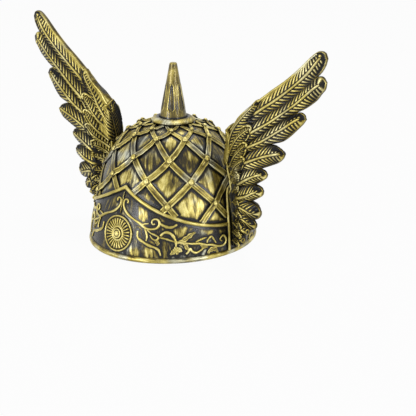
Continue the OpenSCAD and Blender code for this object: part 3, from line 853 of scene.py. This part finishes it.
def panel_strokes(az, z):
    """Strength of the brush strokes and slant of the brush at each place on the skull."""
    r = np.linspace(5, -1, 600)
    row, lane = np.interp(z, strap_z(r), r), az / HALF_PITCH
    below = z < border_z(az)
    number = np.floor((lane - row) / 2) % LANES + LANES * (np.floor((lane + row) / 2) % LANES)
    number = np.where(below, BROW_PANELS + np.floor(az / BROW_PANEL_ANGLE), number).astype(int)
    levels, slants = rng.uniform(*PANEL_LEVEL, PANELS), rng.uniform(*PANEL_SLANT, PANELS)
    level, slant = levels[number], np.where(below, 0.9, 1.0) * slants[number]
    paint = np.zeros(az.shape)
    around = np.radians(az[0]) * RIM_X
    for _ in range(STROKES):
        x, y = rng.uniform(0, around[-1]), rng.uniform(4, CROWN_Z)
        wide, tall, power = rng.uniform(*STROKE_WIDE), rng.uniform(*STROKE_TALL), rng.uniform(*STROKE_POWER)
        i0, i1 = np.searchsorted(z[:, 0], [y - 1.6 * tall, y + 1.6 * tall])
        j0, j1 = np.searchsorted(around, [x - 9 - 2 * wide, x + 9 + 2 * wide])
        rise, side = z[i0:i1, j0:j1] - y, around[None, j0:j1] - x
        lean = side - slant[i0:i1, j0:j1] * rise
        paint[i0:i1, j0:j1] += power * np.exp(-((lean / wide) ** 2) - (rise / tall) ** 4)
    return level + STROKE_LIMIT * np.tanh(paint / STROKE_LIMIT), slant


def make_skull(strap_lines):
    """One closed wall: its outside with a groove beside each strap and swelled, brushed
    panels, and its inside with the lattice's imprint."""
    angles = np.linspace(0, 360, SKULL_COLUMNS, endpoint=False)
    top = math.degrees(math.asin(crown_at(BORE_R + 0.1) / CROWN_Z))
    rise = top * np.linspace(0, 1, SKULL_ROWS) ** 0.94
    az, z = np.meshgrid(angles, rise_z(rise))
    # Outside
    surface = on_shell(az, z)
    to_strap = nearest_relief(surface, strap_lines + bead_lines())
    to_scroll = nearest_relief(surface, scroll_lines())
    pillow = ease(to_strap, 0.5, 9)
    dent = 0.25 * np.sin(az * 0.21 + 1) * np.sin(z * 0.13)
    out = (PILLOW_H + 0.3 * dent) * pillow - GROOVE_H * bell(np.maximum(0, to_strap), GROOVE_W)
    outer = skin(az, z, out * ease(z, 4, 12) * (1 - ease(z, 136, 142)))

    # Paint: brushed panels, bare grooves, bare inside the wing frames
    below = z < border_z(az)
    panel = ease(to_strap, 0.5, 5.0) * ease(to_scroll, -0.3, 2.6)
    strokes, slant = panel_strokes(az, z)
    paint = 0.04 + panel * (np.where(below, 0.5, 0.76) + np.where(below, 1.5, 1.15) * strokes)
    paint *= 1 - 0.8 * (1 - ease(z, 4, 8)) * (z < 8)
    in_frame = (np.abs(round_from_front(az) - 90) < edge_angle(z)) & (z < FRAME_Z)
    paint = np.where(in_frame, 0.02, paint)

    # Inside, on every other row
    inner_az, inner_z = az[::2], z[::2]
    imprint = IMPRINT_H * ease(-to_strap[::2], -0.4, 1.2) * (inner_z > 30) * (inner_z < 140)
    inner = skin(inner_az, inner_z, imprint - SHELL_T)
    outer[0, :, Z] = inner[0, :, Z] = 0

    # One wall, from the bore down the outside and up the inside
    rings = np.concatenate([outer[::-1], inner])
    gold = np.concatenate([paint[::-1], np.full(inner_z.shape, -0.9)])
    around = np.radians(az) * RIM_X
    across = np.concatenate([(around - slant * z)[::-1], around[::2]])
    flow = flow_grid(across, np.concatenate([z[::-1], inner_z]))
    count, sides = rings.shape[:2]
    last = (count - 1) * sides
    join = [[v if v < sides else v - sides + last for v in f][::-1] for f in ring_faces(2, sides)]
    piece = Piece()
    piece.add(rings, ring_faces(count, sides) + join, gold, flow)
    piece.make("skull_shell_wall", SHELL, ["skull_shell"])


def make_liner():
    """The padded band: rounded edges, a slight sag and a slanted butt joint behind."""
    back, front = SHELL_T + 0.4, SHELL_T + 0.3 + LINER_T
    low, high = LINER_LOW + 0.2, LINER_HIGH - 0.2
    corner = [[0, 3.4], [0.9, 1.4], [2.4, 0.5], [6, 0.1]]
    rows = [[low, back], *[[low + up, front - cut] for up, cut in corner], [(low + high) / 2, front],
            *[[high - down, front - cut] for down, cut in corner[::-1]], [high, back]]
    gap = math.degrees(LINER_GAP / RIM_Y)
    steps = np.linspace(0, 1, 361)[:, None]
    z, depth = np.array(rows).T
    pinch = 1 - 0.1 * (bell(steps, 0.006) + bell(1 - steps, 0.006))
    lean = LINER_SKEW * ((z - low) / (high - low) - 0.5)
    sag = 0.4 * (0.25 * np.sin(steps * 60) + 0.2 * np.sin(steps * 23 + z)) * (depth > front - 2)
    az = 180 + gap / 2 + steps * (360 - gap) + lean
    rings = skin(az, z + 0 * steps, -(back + (depth - back) * pinch + sag))
    piece = Piece()
    piece.add_rings(rings, 0.5, flow_grid(np.arange(len(rows)) * 3, steps * LINER_RUN))
    band = piece.make("liner_band_foam", FOAM, ["liner_band"])


# Wings: points are [x, z] on the wearer's left, thickness runs along Y. The inner edge runs
# from the top down, and below LEAVE_Z the wing follows the skull down to LOW_Z
INNER_EDGE = [[98, 156], [92.3, 148], [90, 133], [88.8, 114], [90.3, 95], [92.4, 79]]
LEAVE_Z = 70
LOW_Z = 9
# Long feathers from the top down: shaft, upper edge, lower edge, half thickness
LONG_FEATHERS = [
    ([[112, 160], [137, 180], [155, 193], [173, 207], [188, 220], [201, 233], [209.1, 243.4],
      [214.4, 250.7]],
     [[102.6, 164.6], [117.8, 178.3], [132.2, 190.4], [149.2, 204], [169.2, 219], [185.2, 233],
      [201.5, 248.8], [209.4, 255.2], [215.3, 256.5], [219.5, 254.4], [221.3, 250]],
     [[118, 155], [141, 174], [150, 180], [172, 195], [193, 213], [208.3, 227.8], [214.8, 234.7],
      [219, 241.9], [221.1, 248.9]], 5.2),
    ([[110, 140], [133, 156], [151, 168], [169, 182], [185, 195], [198, 207], [207.3, 215.6], [214.1, 221]],
     [[118, 155], [141, 174], [150, 180], [172, 195], [193, 213], [207.3, 225.6], [213.2, 229],
      [217.6, 228.2], [221, 224.1]],
     [[112, 132], [134, 147], [148, 158], [162, 169], [178, 180.5], [187, 186.2], [196.4, 191.8],
      [208.2, 201.6], [215.4, 210.6], [219.8, 216.4], [221.4, 223.1]], 6.2),
    ([[106, 124], [129, 138], [146, 147], [163, 159], [176, 169], [184.1, 175.4], [190.9, 180.1]],
     [[112, 132], [134, 147], [148, 158], [162, 169], [178, 180], [185.7, 184.2], [190.9, 185.6],
      [195.9, 183.6], [197.8, 179.7]],
     [[108, 118], [127, 131], [143, 138], [155, 144.5], [163, 147.5], [172, 151], [179.9, 157.5],
      [188.6, 167.2], [194.1, 173.4], [197.8, 179.1]], 6.6),
    ([[104, 109], [123, 118], [135, 124], [148, 130], [158.8, 134], [167.4, 136.7], [172.3, 137.6]],
     [[107, 117], [126, 130], [134, 134.5], [144, 140], [155, 144], [161.3, 144.6], [166.7, 143.3],
      [172.3, 140.6], [175.6, 137.2]],
     [[108, 100], [118, 107], [127, 110], [138, 112.5], [149, 117], [160.5, 122.4], [167.4, 126.2],
      [173.2, 131.6], [175.6, 136.6]], 7),
    ([[103, 86], [116, 92], [125, 98], [133, 103], [141.6, 107.4], [147.2, 108.8]],
     [[106, 94], [114, 102], [122, 108], [130, 112.5], [137.8, 114.1], [144.4, 114.1], [150, 112.4],
      [152, 109.3]],
     [[106, 78], [114, 86], [122, 90.5], [130, 92.5], [137.8, 95.6], [146.2, 101.2], [151, 105.4],
      [152, 108.9]], 7.6),
    ([[102, 72], [112, 74], [121, 77], [128, 80], [135.5, 85.1], [140.7, 87.3]],
     [[103, 78], [112, 85], [120, 89.5], [127, 92], [133.7, 93.6], [139.8, 93.8], [145.3, 91.9],
      [147.2, 88.8]],
     [[104, 66], [113, 70], [122, 72.5], [133.7, 75.1], [140.7, 79.3], [145.7, 83.4], [147.2, 88.4]], 7.8),
    ([[102, 65], [112, 65], [123, 63], [130.8, 60.5], [135.5, 60.1]],
     [[102, 70], [112, 73], [120, 74.5], [128, 74], [134.3, 72.6], [138.5, 70.7], [142, 67.3], [143, 63.7]],
     [[102, 60], [112, 57.5], [120, 54.5], [128, 52.5], [134.3, 52.1], [138.5, 54.2], [142, 58.8],
      [143, 63.3]], 7.8),
    ([[101, 54], [111, 53], [119, 50.5], [124.7, 47.3], [128.2, 45.4]],
     [[101, 61], [111, 59], [119, 57], [125.4, 54.2], [129.5, 51.7], [132.8, 48.5], [134.2, 45.4]],
     [[101, 48], [110, 45], [118, 41.5], [124.7, 38.3], [128.8, 37.8], [132.8, 40.5], [134.2, 45]], 7.6),
    ([[101, 42], [109, 40.5], [115, 38], [120, 35.6], [124, 34.2]],
     [[101, 48], [110, 46.5], [116, 44.5], [121, 42], [124, 39], [125, 35.5]],
     [[101, 35], [109, 33], [115, 31.2], [120, 30.4], [123.6, 31.6], [125, 34.6]], 7.4),
    ([[100, 27], [107, 25.5], [113, 23.6], [117.4, 22.6]],
     [[100, 34], [107, 32.5], [113, 31], [117, 28.4], [118.6, 23.6]],
     [[100, 16], [107, 15.4], [112.5, 16], [116.6, 18.4], [118.6, 22.8]], 6.8),
]
# Short feathers over their roots, in the same form
SHORT_FEATHERS = [
    ([[93, 122], [97, 137], [108, 158], [120, 173], [132, 186.5]],
     [[89.4, 122], [90.6, 137], [92.6, 150], [104, 163.5], [119.5, 178], [127, 186.4], [132, 191.6],
      [136.4, 191.4]],
     [[101, 125], [107, 140], [118, 154], [126, 165], [132, 178], [136.6, 190.8]], 8.4),
    ([[93, 120], [102, 130], [114, 146], [122, 153.5], [129, 159.5]],
     [[93, 128], [99, 137], [107, 150], [117, 158.5], [126, 162.5], [131, 162.4]],
     [[97, 113], [107, 126], [118, 138], [128, 148.5], [131.8, 162]], 9),
    ([[93, 106], [102, 115], [110, 124], [118, 132], [125, 139.5]],
     [[93.5, 113], [101, 122], [108, 131], [116, 138.5], [122, 142.5], [127.4, 142.6]],
     [[95, 99], [105, 110], [116, 120], [125, 130], [128, 142]], 9.4),
    ([[93, 96], [101, 103], [109, 111], [116, 117], [122, 121.5]],
     [[93, 102], [100, 110], [107, 118], [114, 123], [120, 125.5], [124.6, 124.6]],
     [[95.5, 90], [104, 98], [113, 105], [121, 112], [125.4, 124]], 9.6),
    ([[94, 85], [98, 90], [105, 96.5], [112, 100.5]],
     [[92.5, 89], [94, 95], [101, 102.5], [109, 106], [116, 103.6]],
     [[96, 79], [101, 85], [108, 90], [115, 95.5], [116.6, 103]], 9.6),
    ([[97, 76], [104, 81.5], [111.5, 85]],
     [[93.5, 81], [100, 88], [108, 91], [115, 88.4]],
     [[100, 71], [107, 75.5], [113, 80.5], [115.6, 88]], 9.6),
    ([[97, 64], [105, 65.5], [112.5, 66.4]],
     [[95, 70], [103, 73], [110, 72.5], [116, 67.2]],
     [[97, 59], [105, 58.5], [112, 60.5], [116.2, 66.8]], 9.4),
    ([[98, 51], [107, 52.5], [114, 52.6]],
     [[96, 56.5], [105, 59], [112, 58], [117.8, 53.2]],
     [[98, 46.5], [107, 46], [114, 47.5], [118, 52.8]], 9.2),
    ([[98, 39], [107, 39.6], [113.5, 39.2]],
     [[96.5, 44.5], [105, 46.4], [112, 44.8], [117.2, 39.8]],
     [[98, 34.6], [106, 33.6], [112.5, 34.4], [117.4, 39.4]], 9),
    ([[98, 27.5], [106, 28.2], [112.5, 27.8]],
     [[96.5, 32.5], [105, 34], [112, 32.8], [116.6, 28.4]],
     [[98, 23], [106, 22], [112, 22.8], [116.8, 28]], 8.8),
    ([[97.5, 17], [104, 17.5], [110, 17]],
     [[96.5, 21.5], [104, 22.4], [110, 21], [114, 17.6]],
     [[97.5, 13], [104, 12], [110, 12.8], [114.2, 17.2]], 8.4),
]


# Columns of half a feather, from its shaft to its rim: place in shaft widths, then as a
# share of the vane beyond the shaft, ridge height, barb height, the shaft's paint
COLUMNS = [[0, 0, 1.7, 0, 1], [0.5, 0, 1.45, 0, 1], [0.9, 0, 0.5, 0, 0.75], [1.2, 0, -0.3, 0.1, -0.6],
           [1.2, 0.12, 0, 0.8, 0], [1.2, 0.28, 0, 1, 0], [1.2, 0.45, 0, 1, 0], [1.2, 0.62, 0, 1, 0],
           [1.2, 0.78, 0, 1, 0], [1.2, 0.91, 0, 0.9, 0], [1.2, 1, 0, 0.45, 0]]
AT_SHAFT, AT_VANE, RIDGE, BARB, SHAFT_GOLD = np.array(COLUMNS, float).T
ON_SHAFT = np.arange(len(COLUMNS)) < 4
BARB_STEPS = 6
BARB_H = 0.85
SHAFT_W, LEAFY_SHAFT_W = 3.1, 1.7
WALL_OUT, SEAM_OUT = 0.55, 0.8


def lean_y(flat):
    """How far the wing has curved forward, as in the solids."""
    start = RIM_X - 2 - 14 * ease(flat[..., 1], CROWN_Z - 44, CROWN_Z + 6)
    return -WING_FORWARD * ease(flat[..., 0], start, RIM_X + 20)


def on_wing(side):
    """Maps wing plane points and their height out of its middle, towards the rear, into space."""

    def place(flat, out):
        x, z = flat[..., 0], flat[..., 1]
        low = ease(z, 40, 75) * (1 - ease(z, 145, 200)) * ease(x, 98, 128)
        root = ease(z, 85, 115) * (1 - ease(z, 150, 175)) * (1 - ease(x, 100, 122))
        out = out * np.where(out < 0, 1 + ROOT_FULL * root, 1) + HIGH_BACK * ease(z, 140, 175)
        return np.stack([side * (x - LOW_INWARD * low), lean_y(flat) - LOW_FORWARD * low + out, z], -1)

    return place


def vane(shaft, edge, u, angle):
    """Where the barbs that leave the shaft at shares u of its length meet the edge."""
    t = np.linspace(0, edge.length, 80)
    gaps = np.linalg.norm(edge.at(t)[:, None] - shaft.dense[None], axis=2)
    root = shaft.along[gaps.argmin(axis=1)] - gaps.min(axis=1) / math.tan(math.radians(angle))
    root = np.maximum.accumulate(root + ease(t / edge.length, 0.7, 1) * (shaft.length - root))
    return edge.at(0.96 * np.interp(shaft.length * u, root, t) + 0.04 * edge.length * u)


def feather(piece, place, plan, pitch, angle, amp, leafy=False, shade=None, lip=0.0, hollow=0.0,
            hood=0.0, blunt=0.0):
    """One closed feather, the same at front and rear: a raised shaft and barbs that are pitch
    mm apart, at an angle to it and amp high. Leafy ones have a thin shaft, lip is a raised
    plain upper rim, hollow sinks the middle, hood and blunt darken parts of the tip."""
    shaft, upper, lower, thick = plan
    shaft = Line(shaft)
    # Rows along the shaft, BARB_STEPS to each barb
    rows = max(4, round(shaft.length / pitch)) * BARB_STEPS + 1
    along = unit(np.gradient(shaft.at(np.linspace(0, shaft.length, rows)), axis=0))
    number, phase = np.divmod(np.arange(rows), BARB_STEPS)
    wave = (0.5 - 0.5 * np.cos(2 * math.pi * phase / BARB_STEPS))[:, None] ** 1.15
    strength = 1 + 0.25 * np.sin(number * 2.4 + shaft.length)[:, None]
    u = np.linspace(0, 1, rows)
    u = 1.086 * u - 0.086 * u**8
    mid, tip = shaft.at(shaft.length * u), ease(u, 0.86, 1)[:, None]
    apex = np.mean([upper[-1], lower[-1]], axis=0).tolist()
    halves = []
    for sign, edge in ((1, upper), (-1, lower)):
        # Columns from the shaft to the rim
        rim = vane(shaft, Line([*edge[:-1], apex]), u, angle)
        span = np.maximum(np.linalg.norm(rim - mid, axis=1, keepdims=True), 0.01)
        s = u[:, None]
        fading = (1 - 0.5 * s) * (1 - ease(s, 0.93, 1))
        shaft_w = np.minimum(0.3 * span, (LEAFY_SHAFT_W if leafy else SHAFT_W) * (1 - 0.55 * s))
        across = shaft_w * AT_SHAFT + AT_VANE * (span - 1.2 * shaft_w)
        c = across / span
        flat = mid[:, None] + (rim - mid)[:, None] * c[..., None]
        flat -= along[:, None] * (0.05 * span * np.sin(math.pi * c))[..., None]
        # Height over the feather's middle: body, ridges and barbs
        lipped, upper_half = bool(lip) and sign > 0, sign > 0
        plain = lipped * ease(c, (0.28 if leafy else 0.5) + 0.3 * s, 0.62 + 0.3 * s)
        # Hood: the tip's upper vane, sunk and dark, partly bare black base and partly painted shade
        dark = upper_half * hood * ease(s, 0.76, 0.92) * ease(c, 0.4, 0.65)
        body = thick + hollow * (c**1.6 - 1) if hollow else thick * (1 - 0.56 * c**1.6) * (1 - 0.2 * tip)
        ridge = np.where(ON_SHAFT, RIDGE * fading, lip * (AT_VANE == 1))
        height = body * (1 - 0.35 * dark) + (0.75 if leafy else 1.0) * ridge
        height += BARB_H * amp * strength * BARB * (wave - 0.5) * (1 - plain)
        # Paint: gold on what stands proud
        gold = np.where(ON_SHAFT, SHAFT_GOLD * (0.6 + 0.4 * fading), -0.12 + 1.12 * wave)
        gold = gold - (not lipped) * 0.75 * c**3 * (1 - tip)
        gold = gold * (1 - plain) + 0.62 * plain - 1.3 * dark
        gold -= 1.1 * blunt * ease(s, 0.86, 0.97) * ease(c, 0.5, 0.8)
        gold += (not upper_half) * 0.6 * hood * tip * ease(c, 0.4, 1)
        gold[:, -1:] = 0.85 if lipped else 0.3 + 0.5 * tip
        if shade is not None:
            gold = gold - 0.9 * shade(flat)
        # A wall and a seam column close the half towards the other face
        past = unit(rim - mid)
        closing = [(rim + WALL_OUT * past)[:, None], (rim + SEAM_OUT * past)[:, None]]
        flat = np.concatenate([flat, *closing], 1)
        height = np.concatenate([height, 0.65 * height[:, -1:], 0 * s], 1)
        # Unless lipped, the upper wall is dark: partly bare black base, partly painted shade from above
        under = 0.08 if upper_half and not lip else 0.42
        wall_gold = under + (0.5 - under) * tip * (0.35 if upper_half else 1)
        gold = np.concatenate([gold, wall_gold, 0.6 * wall_gold], 1)
        across = sign * across[:, [*range(len(COLUMNS)), -1, -1]]
        halves.append((flat, height, gold, across))
    wall = len(COLUMNS)

    def ring_of(upper, lower):
        """Columns in order round the feather: front, upper seam, rear, lower seam."""
        front = np.concatenate([lower[:, wall:0:-1], upper[:, : wall + 1]], 1)
        return np.concatenate([front, upper[:, -1:], front[:, ::-1], lower[:, -1:]], 1)

    flat, height, gold, across = (ring_of(*pair) for pair in zip(*halves))
    way = np.repeat([-1, 0, 1, 0], [2 * wall + 1, 1, 2 * wall + 1, 1])
    rings = place(flat, way * height)
    flow = flow_grid(across, shaft.length * u[:, None], shaft.length)
    sides = rings.shape[1]
    piece.add(rings, ring_faces(rows, sides) + end_caps(rows, sides)[:1], gold, flow)


def covert_shade():
    """1 close round the short feathers and under them, falling to 0 a few millimetres off."""
    points = []
    for _, upper, lower, _ in SHORT_FEATHERS:
        a, b = Line(upper), Line(lower)
        u = np.linspace(0, 1, 30)
        points += [a.at(u * a.length) * f + b.at(u * b.length) * (1 - f) for f in np.linspace(0, 1, 9)]
    points = np.concatenate(points)
    tree = kdtree.KDTree(len(points))
    for i, (x, z) in enumerate(points):
        tree.insert((x, z, 0), i)
    tree.balance()

    def shade(flat):
        far = [tree.find((x, z, 0))[2] for x, z in flat.reshape(-1, 2)]
        return 1 - ease(np.reshape(far, flat.shape[:-1]), 0.6, 3.0)

    return shade


def make_feathers(place, end, shade):
    piece = Piece()
    for j, plan in enumerate(LONG_FEATHERS):
        pitch, angle, amp = (5.9, 37, 1.0) if j < 4 else (4.8, 42, 0.9)
        feather(piece, place, plan, pitch, angle, amp, shade=shade, lip=0.7 if j == 0 else 0.0,
                hood=1.0 if 1 < j < 8 else 0.0, blunt=1.0 if j == 0 else 0.0)
    piece.make(f"wing_{end}_feathers", FEATHER, [f"wing_{end}"])


def make_coverts(place, end):
    """The short feathers, and a ragged bead round the tip of each but the first."""
    piece = Piece()
    for j, plan in enumerate(SHORT_FEATHERS):
        feather(piece, place, plan, 4.4 if j < 3 else 3.2, 40, 0.8 if j < 4 else 0.65, leafy=True,
                lip=0.6 if j == 0 else 0.0)
    share, turn = np.linspace(0, 32 / 33, 17), full_turn(10)
    step = np.arange(33)[:, None]
    full = np.sin(np.linspace(0.1, math.pi - 0.1, 33))[:, None]
    for j, (_, upper, lower, thick) in enumerate(SHORT_FEATHERS[1:]):
        top, low = Line(upper), Line(lower)
        over, under = top.at(top.length * (0.62 + 0.38 * share)), low.at(low.length * (1 - 0.34 * share))
        route = np.concatenate([over, under[1:]])
        swell = 0.35 + full * (1 + 0.3 * np.sin(step * 1.1 + j))
        outer = unit(np.gradient(route, axis=0))[:, ::-1] * [-1, 1]
        flat = route[:, None] + outer[:, None] * (0.95 * swell * np.cos(turn))[..., None]
        high = 0.55 * thick + 0.9 * swell * (1.2 + np.sin(turn))
        flow = flow_grid(turn, step, j * 7)
        for way in (-1, 1):
            piece.add_rings(place(flat, way * high), 0.62 - 0.3 * way * np.sin(turn), flow)
    piece.make(f"wing_{end}_coverts", FEATHER, ())


# Half thickness of the wing's body by length along its edge, and paint on its side by height
BODY_HALF = [0, 58, 75, 130, 160, 230, 330], [6.6, 6.8, 9.2, 7.8, 5, 3.4, 2.6]
BODY_GOLD = [75, 82, 118, 126, 150, 250], [0.1, 0.5, 0.45, 0.3, 0.45, 0.5]
# Its section: distance from the edge and share of the half thickness, from front to rear
BODY_SECTION = [(4.2, 0.6), (1.9, 0.86), (0.7, 1), (0, 0.88), (0, 0)]
BODY_PAINT = [0, 0.1, 0.4, 0.8, 0.1, -0.1, -0.2, 0.5, 0.4, 0.1, 0]
BODY_ACROSS = [0, 6, 8, 9, 10, 14, 18, 19, 20, 22, 28]
ROOT_BEADS = [(0.9, 2.25), (2.35, 3.3), (3.4, 4.3)]


def make_body(place, side, end):
    """The root along the skull and the leading edge, with beads on the root's face."""
    low = np.linspace(LOW_Z, LEAVE_Z, 14)
    foot = np.stack([reach(low), low], 1)
    inner = curve(INNER_EDGE, np.linspace(5, 0, 36))
    lead = curve(LONG_FEATHERS[0][1], np.linspace(0.3, 7, 60)) - [0.6, 0.9]
    edge = np.concatenate([foot, inner, lead])
    inward = np.concatenate([np.stack([np.interp(low, [9, 45], [7, 20]), 0 * low], 1),
                             np.linspace([20, 0], [22, -10], 36), np.linspace([18, -18], [8, -9], 60)])
    half = np.interp(path_length(edge), *BODY_HALF)
    stations = [(edge + inward, 0.4), *[(edge + unit(inward) * d, t) for d, t in BODY_SECTION]]
    rings = [place(p, -half * t) for p, t in stations] + [place(p, half * t) for p, t in stations[-2::-1]]
    gold = np.array(BODY_PAINT) + 0 * edge[:, :1]
    gold[:, 3:8] += np.interp(edge[:, 1], *BODY_GOLD)[:, None]
    piece = Piece()
    piece.add_rings(np.stack(rings, 1), gold, flow_grid(BODY_ACROSS, path_length(edge)[:, None]))
    grow = 0.25 + np.sin(math.pi * np.linspace(0.02, 0.98, 40)) ** 0.5
    for first, last in ROOT_BEADS:
        path = curve(INNER_EDGE, np.linspace(first, last, 40)) + [1.2, 0]
        for way in (-1, 1):
            bead_along(piece, place(path, way * 8.2 + 0 * grow), grow, (1.1 * side, 1.3), 1.2, path[:, 1])
    piece.make(f"wing_{end}_body", STRAP, ())


# The scoop leaf on the root's flank: points are [y, z], laid on x by height and wrapped
# round to the wing's front face. It is wider on the wearer's right
FLANK_X = [79, 95, 114, 133, 148, 156], [92.4, 90.3, 88.8, 90, 92.3, 95.5]
FLANK_Y = -15
SCOOP_FOLD = {1: 0.3, -1: 1.0}


def make_scoop(side, end):
    def on_flank(flat, out):
        y, z = flat[..., 0], flat[..., 1]
        wrap = ease(-y, 13, 17.5) * math.pi / 2
        out = np.minimum(out, 0)
        x = np.interp(z, *FLANK_X) + 0.4 + np.maximum(0, FLANK_Y - y) + out * np.cos(wrap)
        return np.stack([side * x, np.maximum(y, FLANK_Y) + out * np.sin(wrap), z], -1)

    def shade(flat):
        return 0.1 + 0.4 * ease(flat[..., 0], -17, -13)

    fold = SCOOP_FOLD[side]
    shaft = [[-4, 101], [-6, 116], [-9 - fold, 132], [-9 - 2 * fold, 148]]
    front = [[-13, 101], [-16 - 10 * fold, 113], [-17 - 13 * fold, 128], [-16 - 12 * fold, 143],
             [-12, 154], [-4, 157]]
    rear = [[3, 101], [4.5, 116], [4.5, 130], [2.5, 143], [-3.5, 157]]
    plan = shaft, front, rear, 3.0
    piece = Piece()
    feather(piece, on_flank, plan, 4.2, 40, 1.2, leafy=True, shade=shade, lip=1.0, hollow=2.2)
    line = on_flank(curve(front, np.linspace(0.8, 5, 60)), -1.4)
    swell = 1.3 * np.sin(np.linspace(0.2, math.pi - 0.3, 60)) ** 0.5
    bead_along(piece, line, swell, (1, 1), 1, np.arange(60))
    piece.make(f"wing_{end}_scoop", FEATHER, ())


# Scene: the photograph's camera, in degrees, metres and pixels, and its lights
PHOTO_SIZE = 416
CAMERA_AZIMUTH, CAMERA_ELEVATION = 39.25, 15.23
CAMERA_PLACE = (0.90603, -1.09618, 0.50715)
CAMERA_FOCAL = 1220.13
CAMERA_CENTRE = (180, 140)
SENSOR = 36
AIM = Vector((0, 0, 0.11))
# Name, azimuth, elevation, distance, width, height, power
LIGHTS = [("key", -7, 7, 1.75, 0.24, 0.6, 12), ("fill", 81, 6, 1.75, 0.2, 0.56, 8),
          ("top", 200, 68, 1.9, 0.9, 0.9, 10)]
WORLD_GLOW = 0.36
FLOOR_R = 9
FLOOR_GLOW = 0.95
WHITE = (1, 1, 1, 1)


def towards(azimuth, elevation):
    a, e = math.radians(azimuth), math.radians(elevation)
    return Vector((math.sin(a) * math.cos(e), -math.cos(a) * math.cos(e), math.sin(e)))


def set_up(name, data, place, facing):
    """Puts a camera or lamp in the scene at a place, facing a way."""
    thing = bpy.data.objects.new(name, data)
    bpy.context.scene.collection.objects.link(thing)
    thing.location = place
    thing.rotation_mode = "QUATERNION"
    thing.rotation_quaternion = facing.to_track_quat("-Z", "Y")
    return thing


def make_camera():
    """A long lens with its centre shifted off the object."""
    lens = bpy.data.cameras.new("camera")
    lens.sensor_width = SENSOR
    lens.lens = SENSOR * CAMERA_FOCAL / PHOTO_SIZE
    lens.shift_x = (PHOTO_SIZE / 2 - CAMERA_CENTRE[0]) / PHOTO_SIZE
    lens.shift_y = (CAMERA_CENTRE[1] - PHOTO_SIZE / 2) / PHOTO_SIZE
    lens.clip_start = 0.05
    lens.clip_end = 60
    facing = -towards(CAMERA_AZIMUTH, CAMERA_ELEVATION)
    bpy.context.scene.camera = set_up("camera", lens, Vector(CAMERA_PLACE), facing)


def make_light(name, azimuth, elevation, far, wide, tall, power):
    """A soft box that faces the helmet, placed by its angles and distance."""
    light = bpy.data.lights.new(name, "AREA")
    light.shape = "RECTANGLE"
    light.size = wide
    light.size_y = tall
    light.energy = power
    place = AIM + far * towards(azimuth, elevation)
    set_up(name, light, place, AIM - place)


def make_world():
    world = bpy.data.worlds.new("studio")
    bpy.context.scene.world = world
    look = Look(world)
    strength = look.rescale(look.seen_white(), 0, 1, WORLD_GLOW, 1.0, "LINEAR")
    background = look.node("ShaderNodeBackground", {"Color": WHITE, "Strength": strength})
    look.end(background, "ShaderNodeOutputWorld")


def make_floor():
    material = bpy.data.materials.new("pale_floor")
    look = Look(material)
    grain = look.noise(look.place(), *FLOOR_NOISE)
    pale = look.ramp(grain, [(0.3, (0.78, 0.78, 0.78)), (0.7, (0.80, 0.80, 0.80))])
    look.end(look.node("ShaderNodeMixShader", {
        0: look.times(look.seen_white(), FLOOR_GLOW),
        1: look.node("ShaderNodeBsdfDiffuse", {"Color": pale}),
        2: look.node("ShaderNodeEmission", {"Color": WHITE}),
    }))
    mesh = bpy.data.meshes.new("floor")
    edge = [(FLOOR_R * math.cos(t), FLOOR_R * math.sin(t), 0) for t in full_turn(96)]
    mesh.from_pydata(edge, [], [list(range(96))])
    mesh.materials.append(material)
    floor = bpy.data.objects.new("floor", mesh)
    bpy.context.scene.collection.objects.link(floor)


strap_lines = [make_strap(lane, lean) for lean in (1, -1) for lane in range(LANES)]
for name, row in STUD_ROWS.items():
    make_studs(f"{name}_studs", row)
make_border()
make_rim()
shade = covert_shade()
for side, end in ((1, "left"), (-1, "right")):
    place = on_wing(side)
    make_frame(side, f"wing_frame_{end}")
    make_scrolls(side, end)
    make_feathers(place, end, shade)
    make_coverts(place, end)
    make_body(place, side, end)
    make_scoop(side, end)
make_rosette()
make_collar()
make_spike()
make_socket()
make_skull(strap_lines)
make_liner()

make_camera()
make_world()
make_floor()
for light in LIGHTS:
    make_light(*light)
bpy.context.scene.view_settings.view_transform = "Standard"
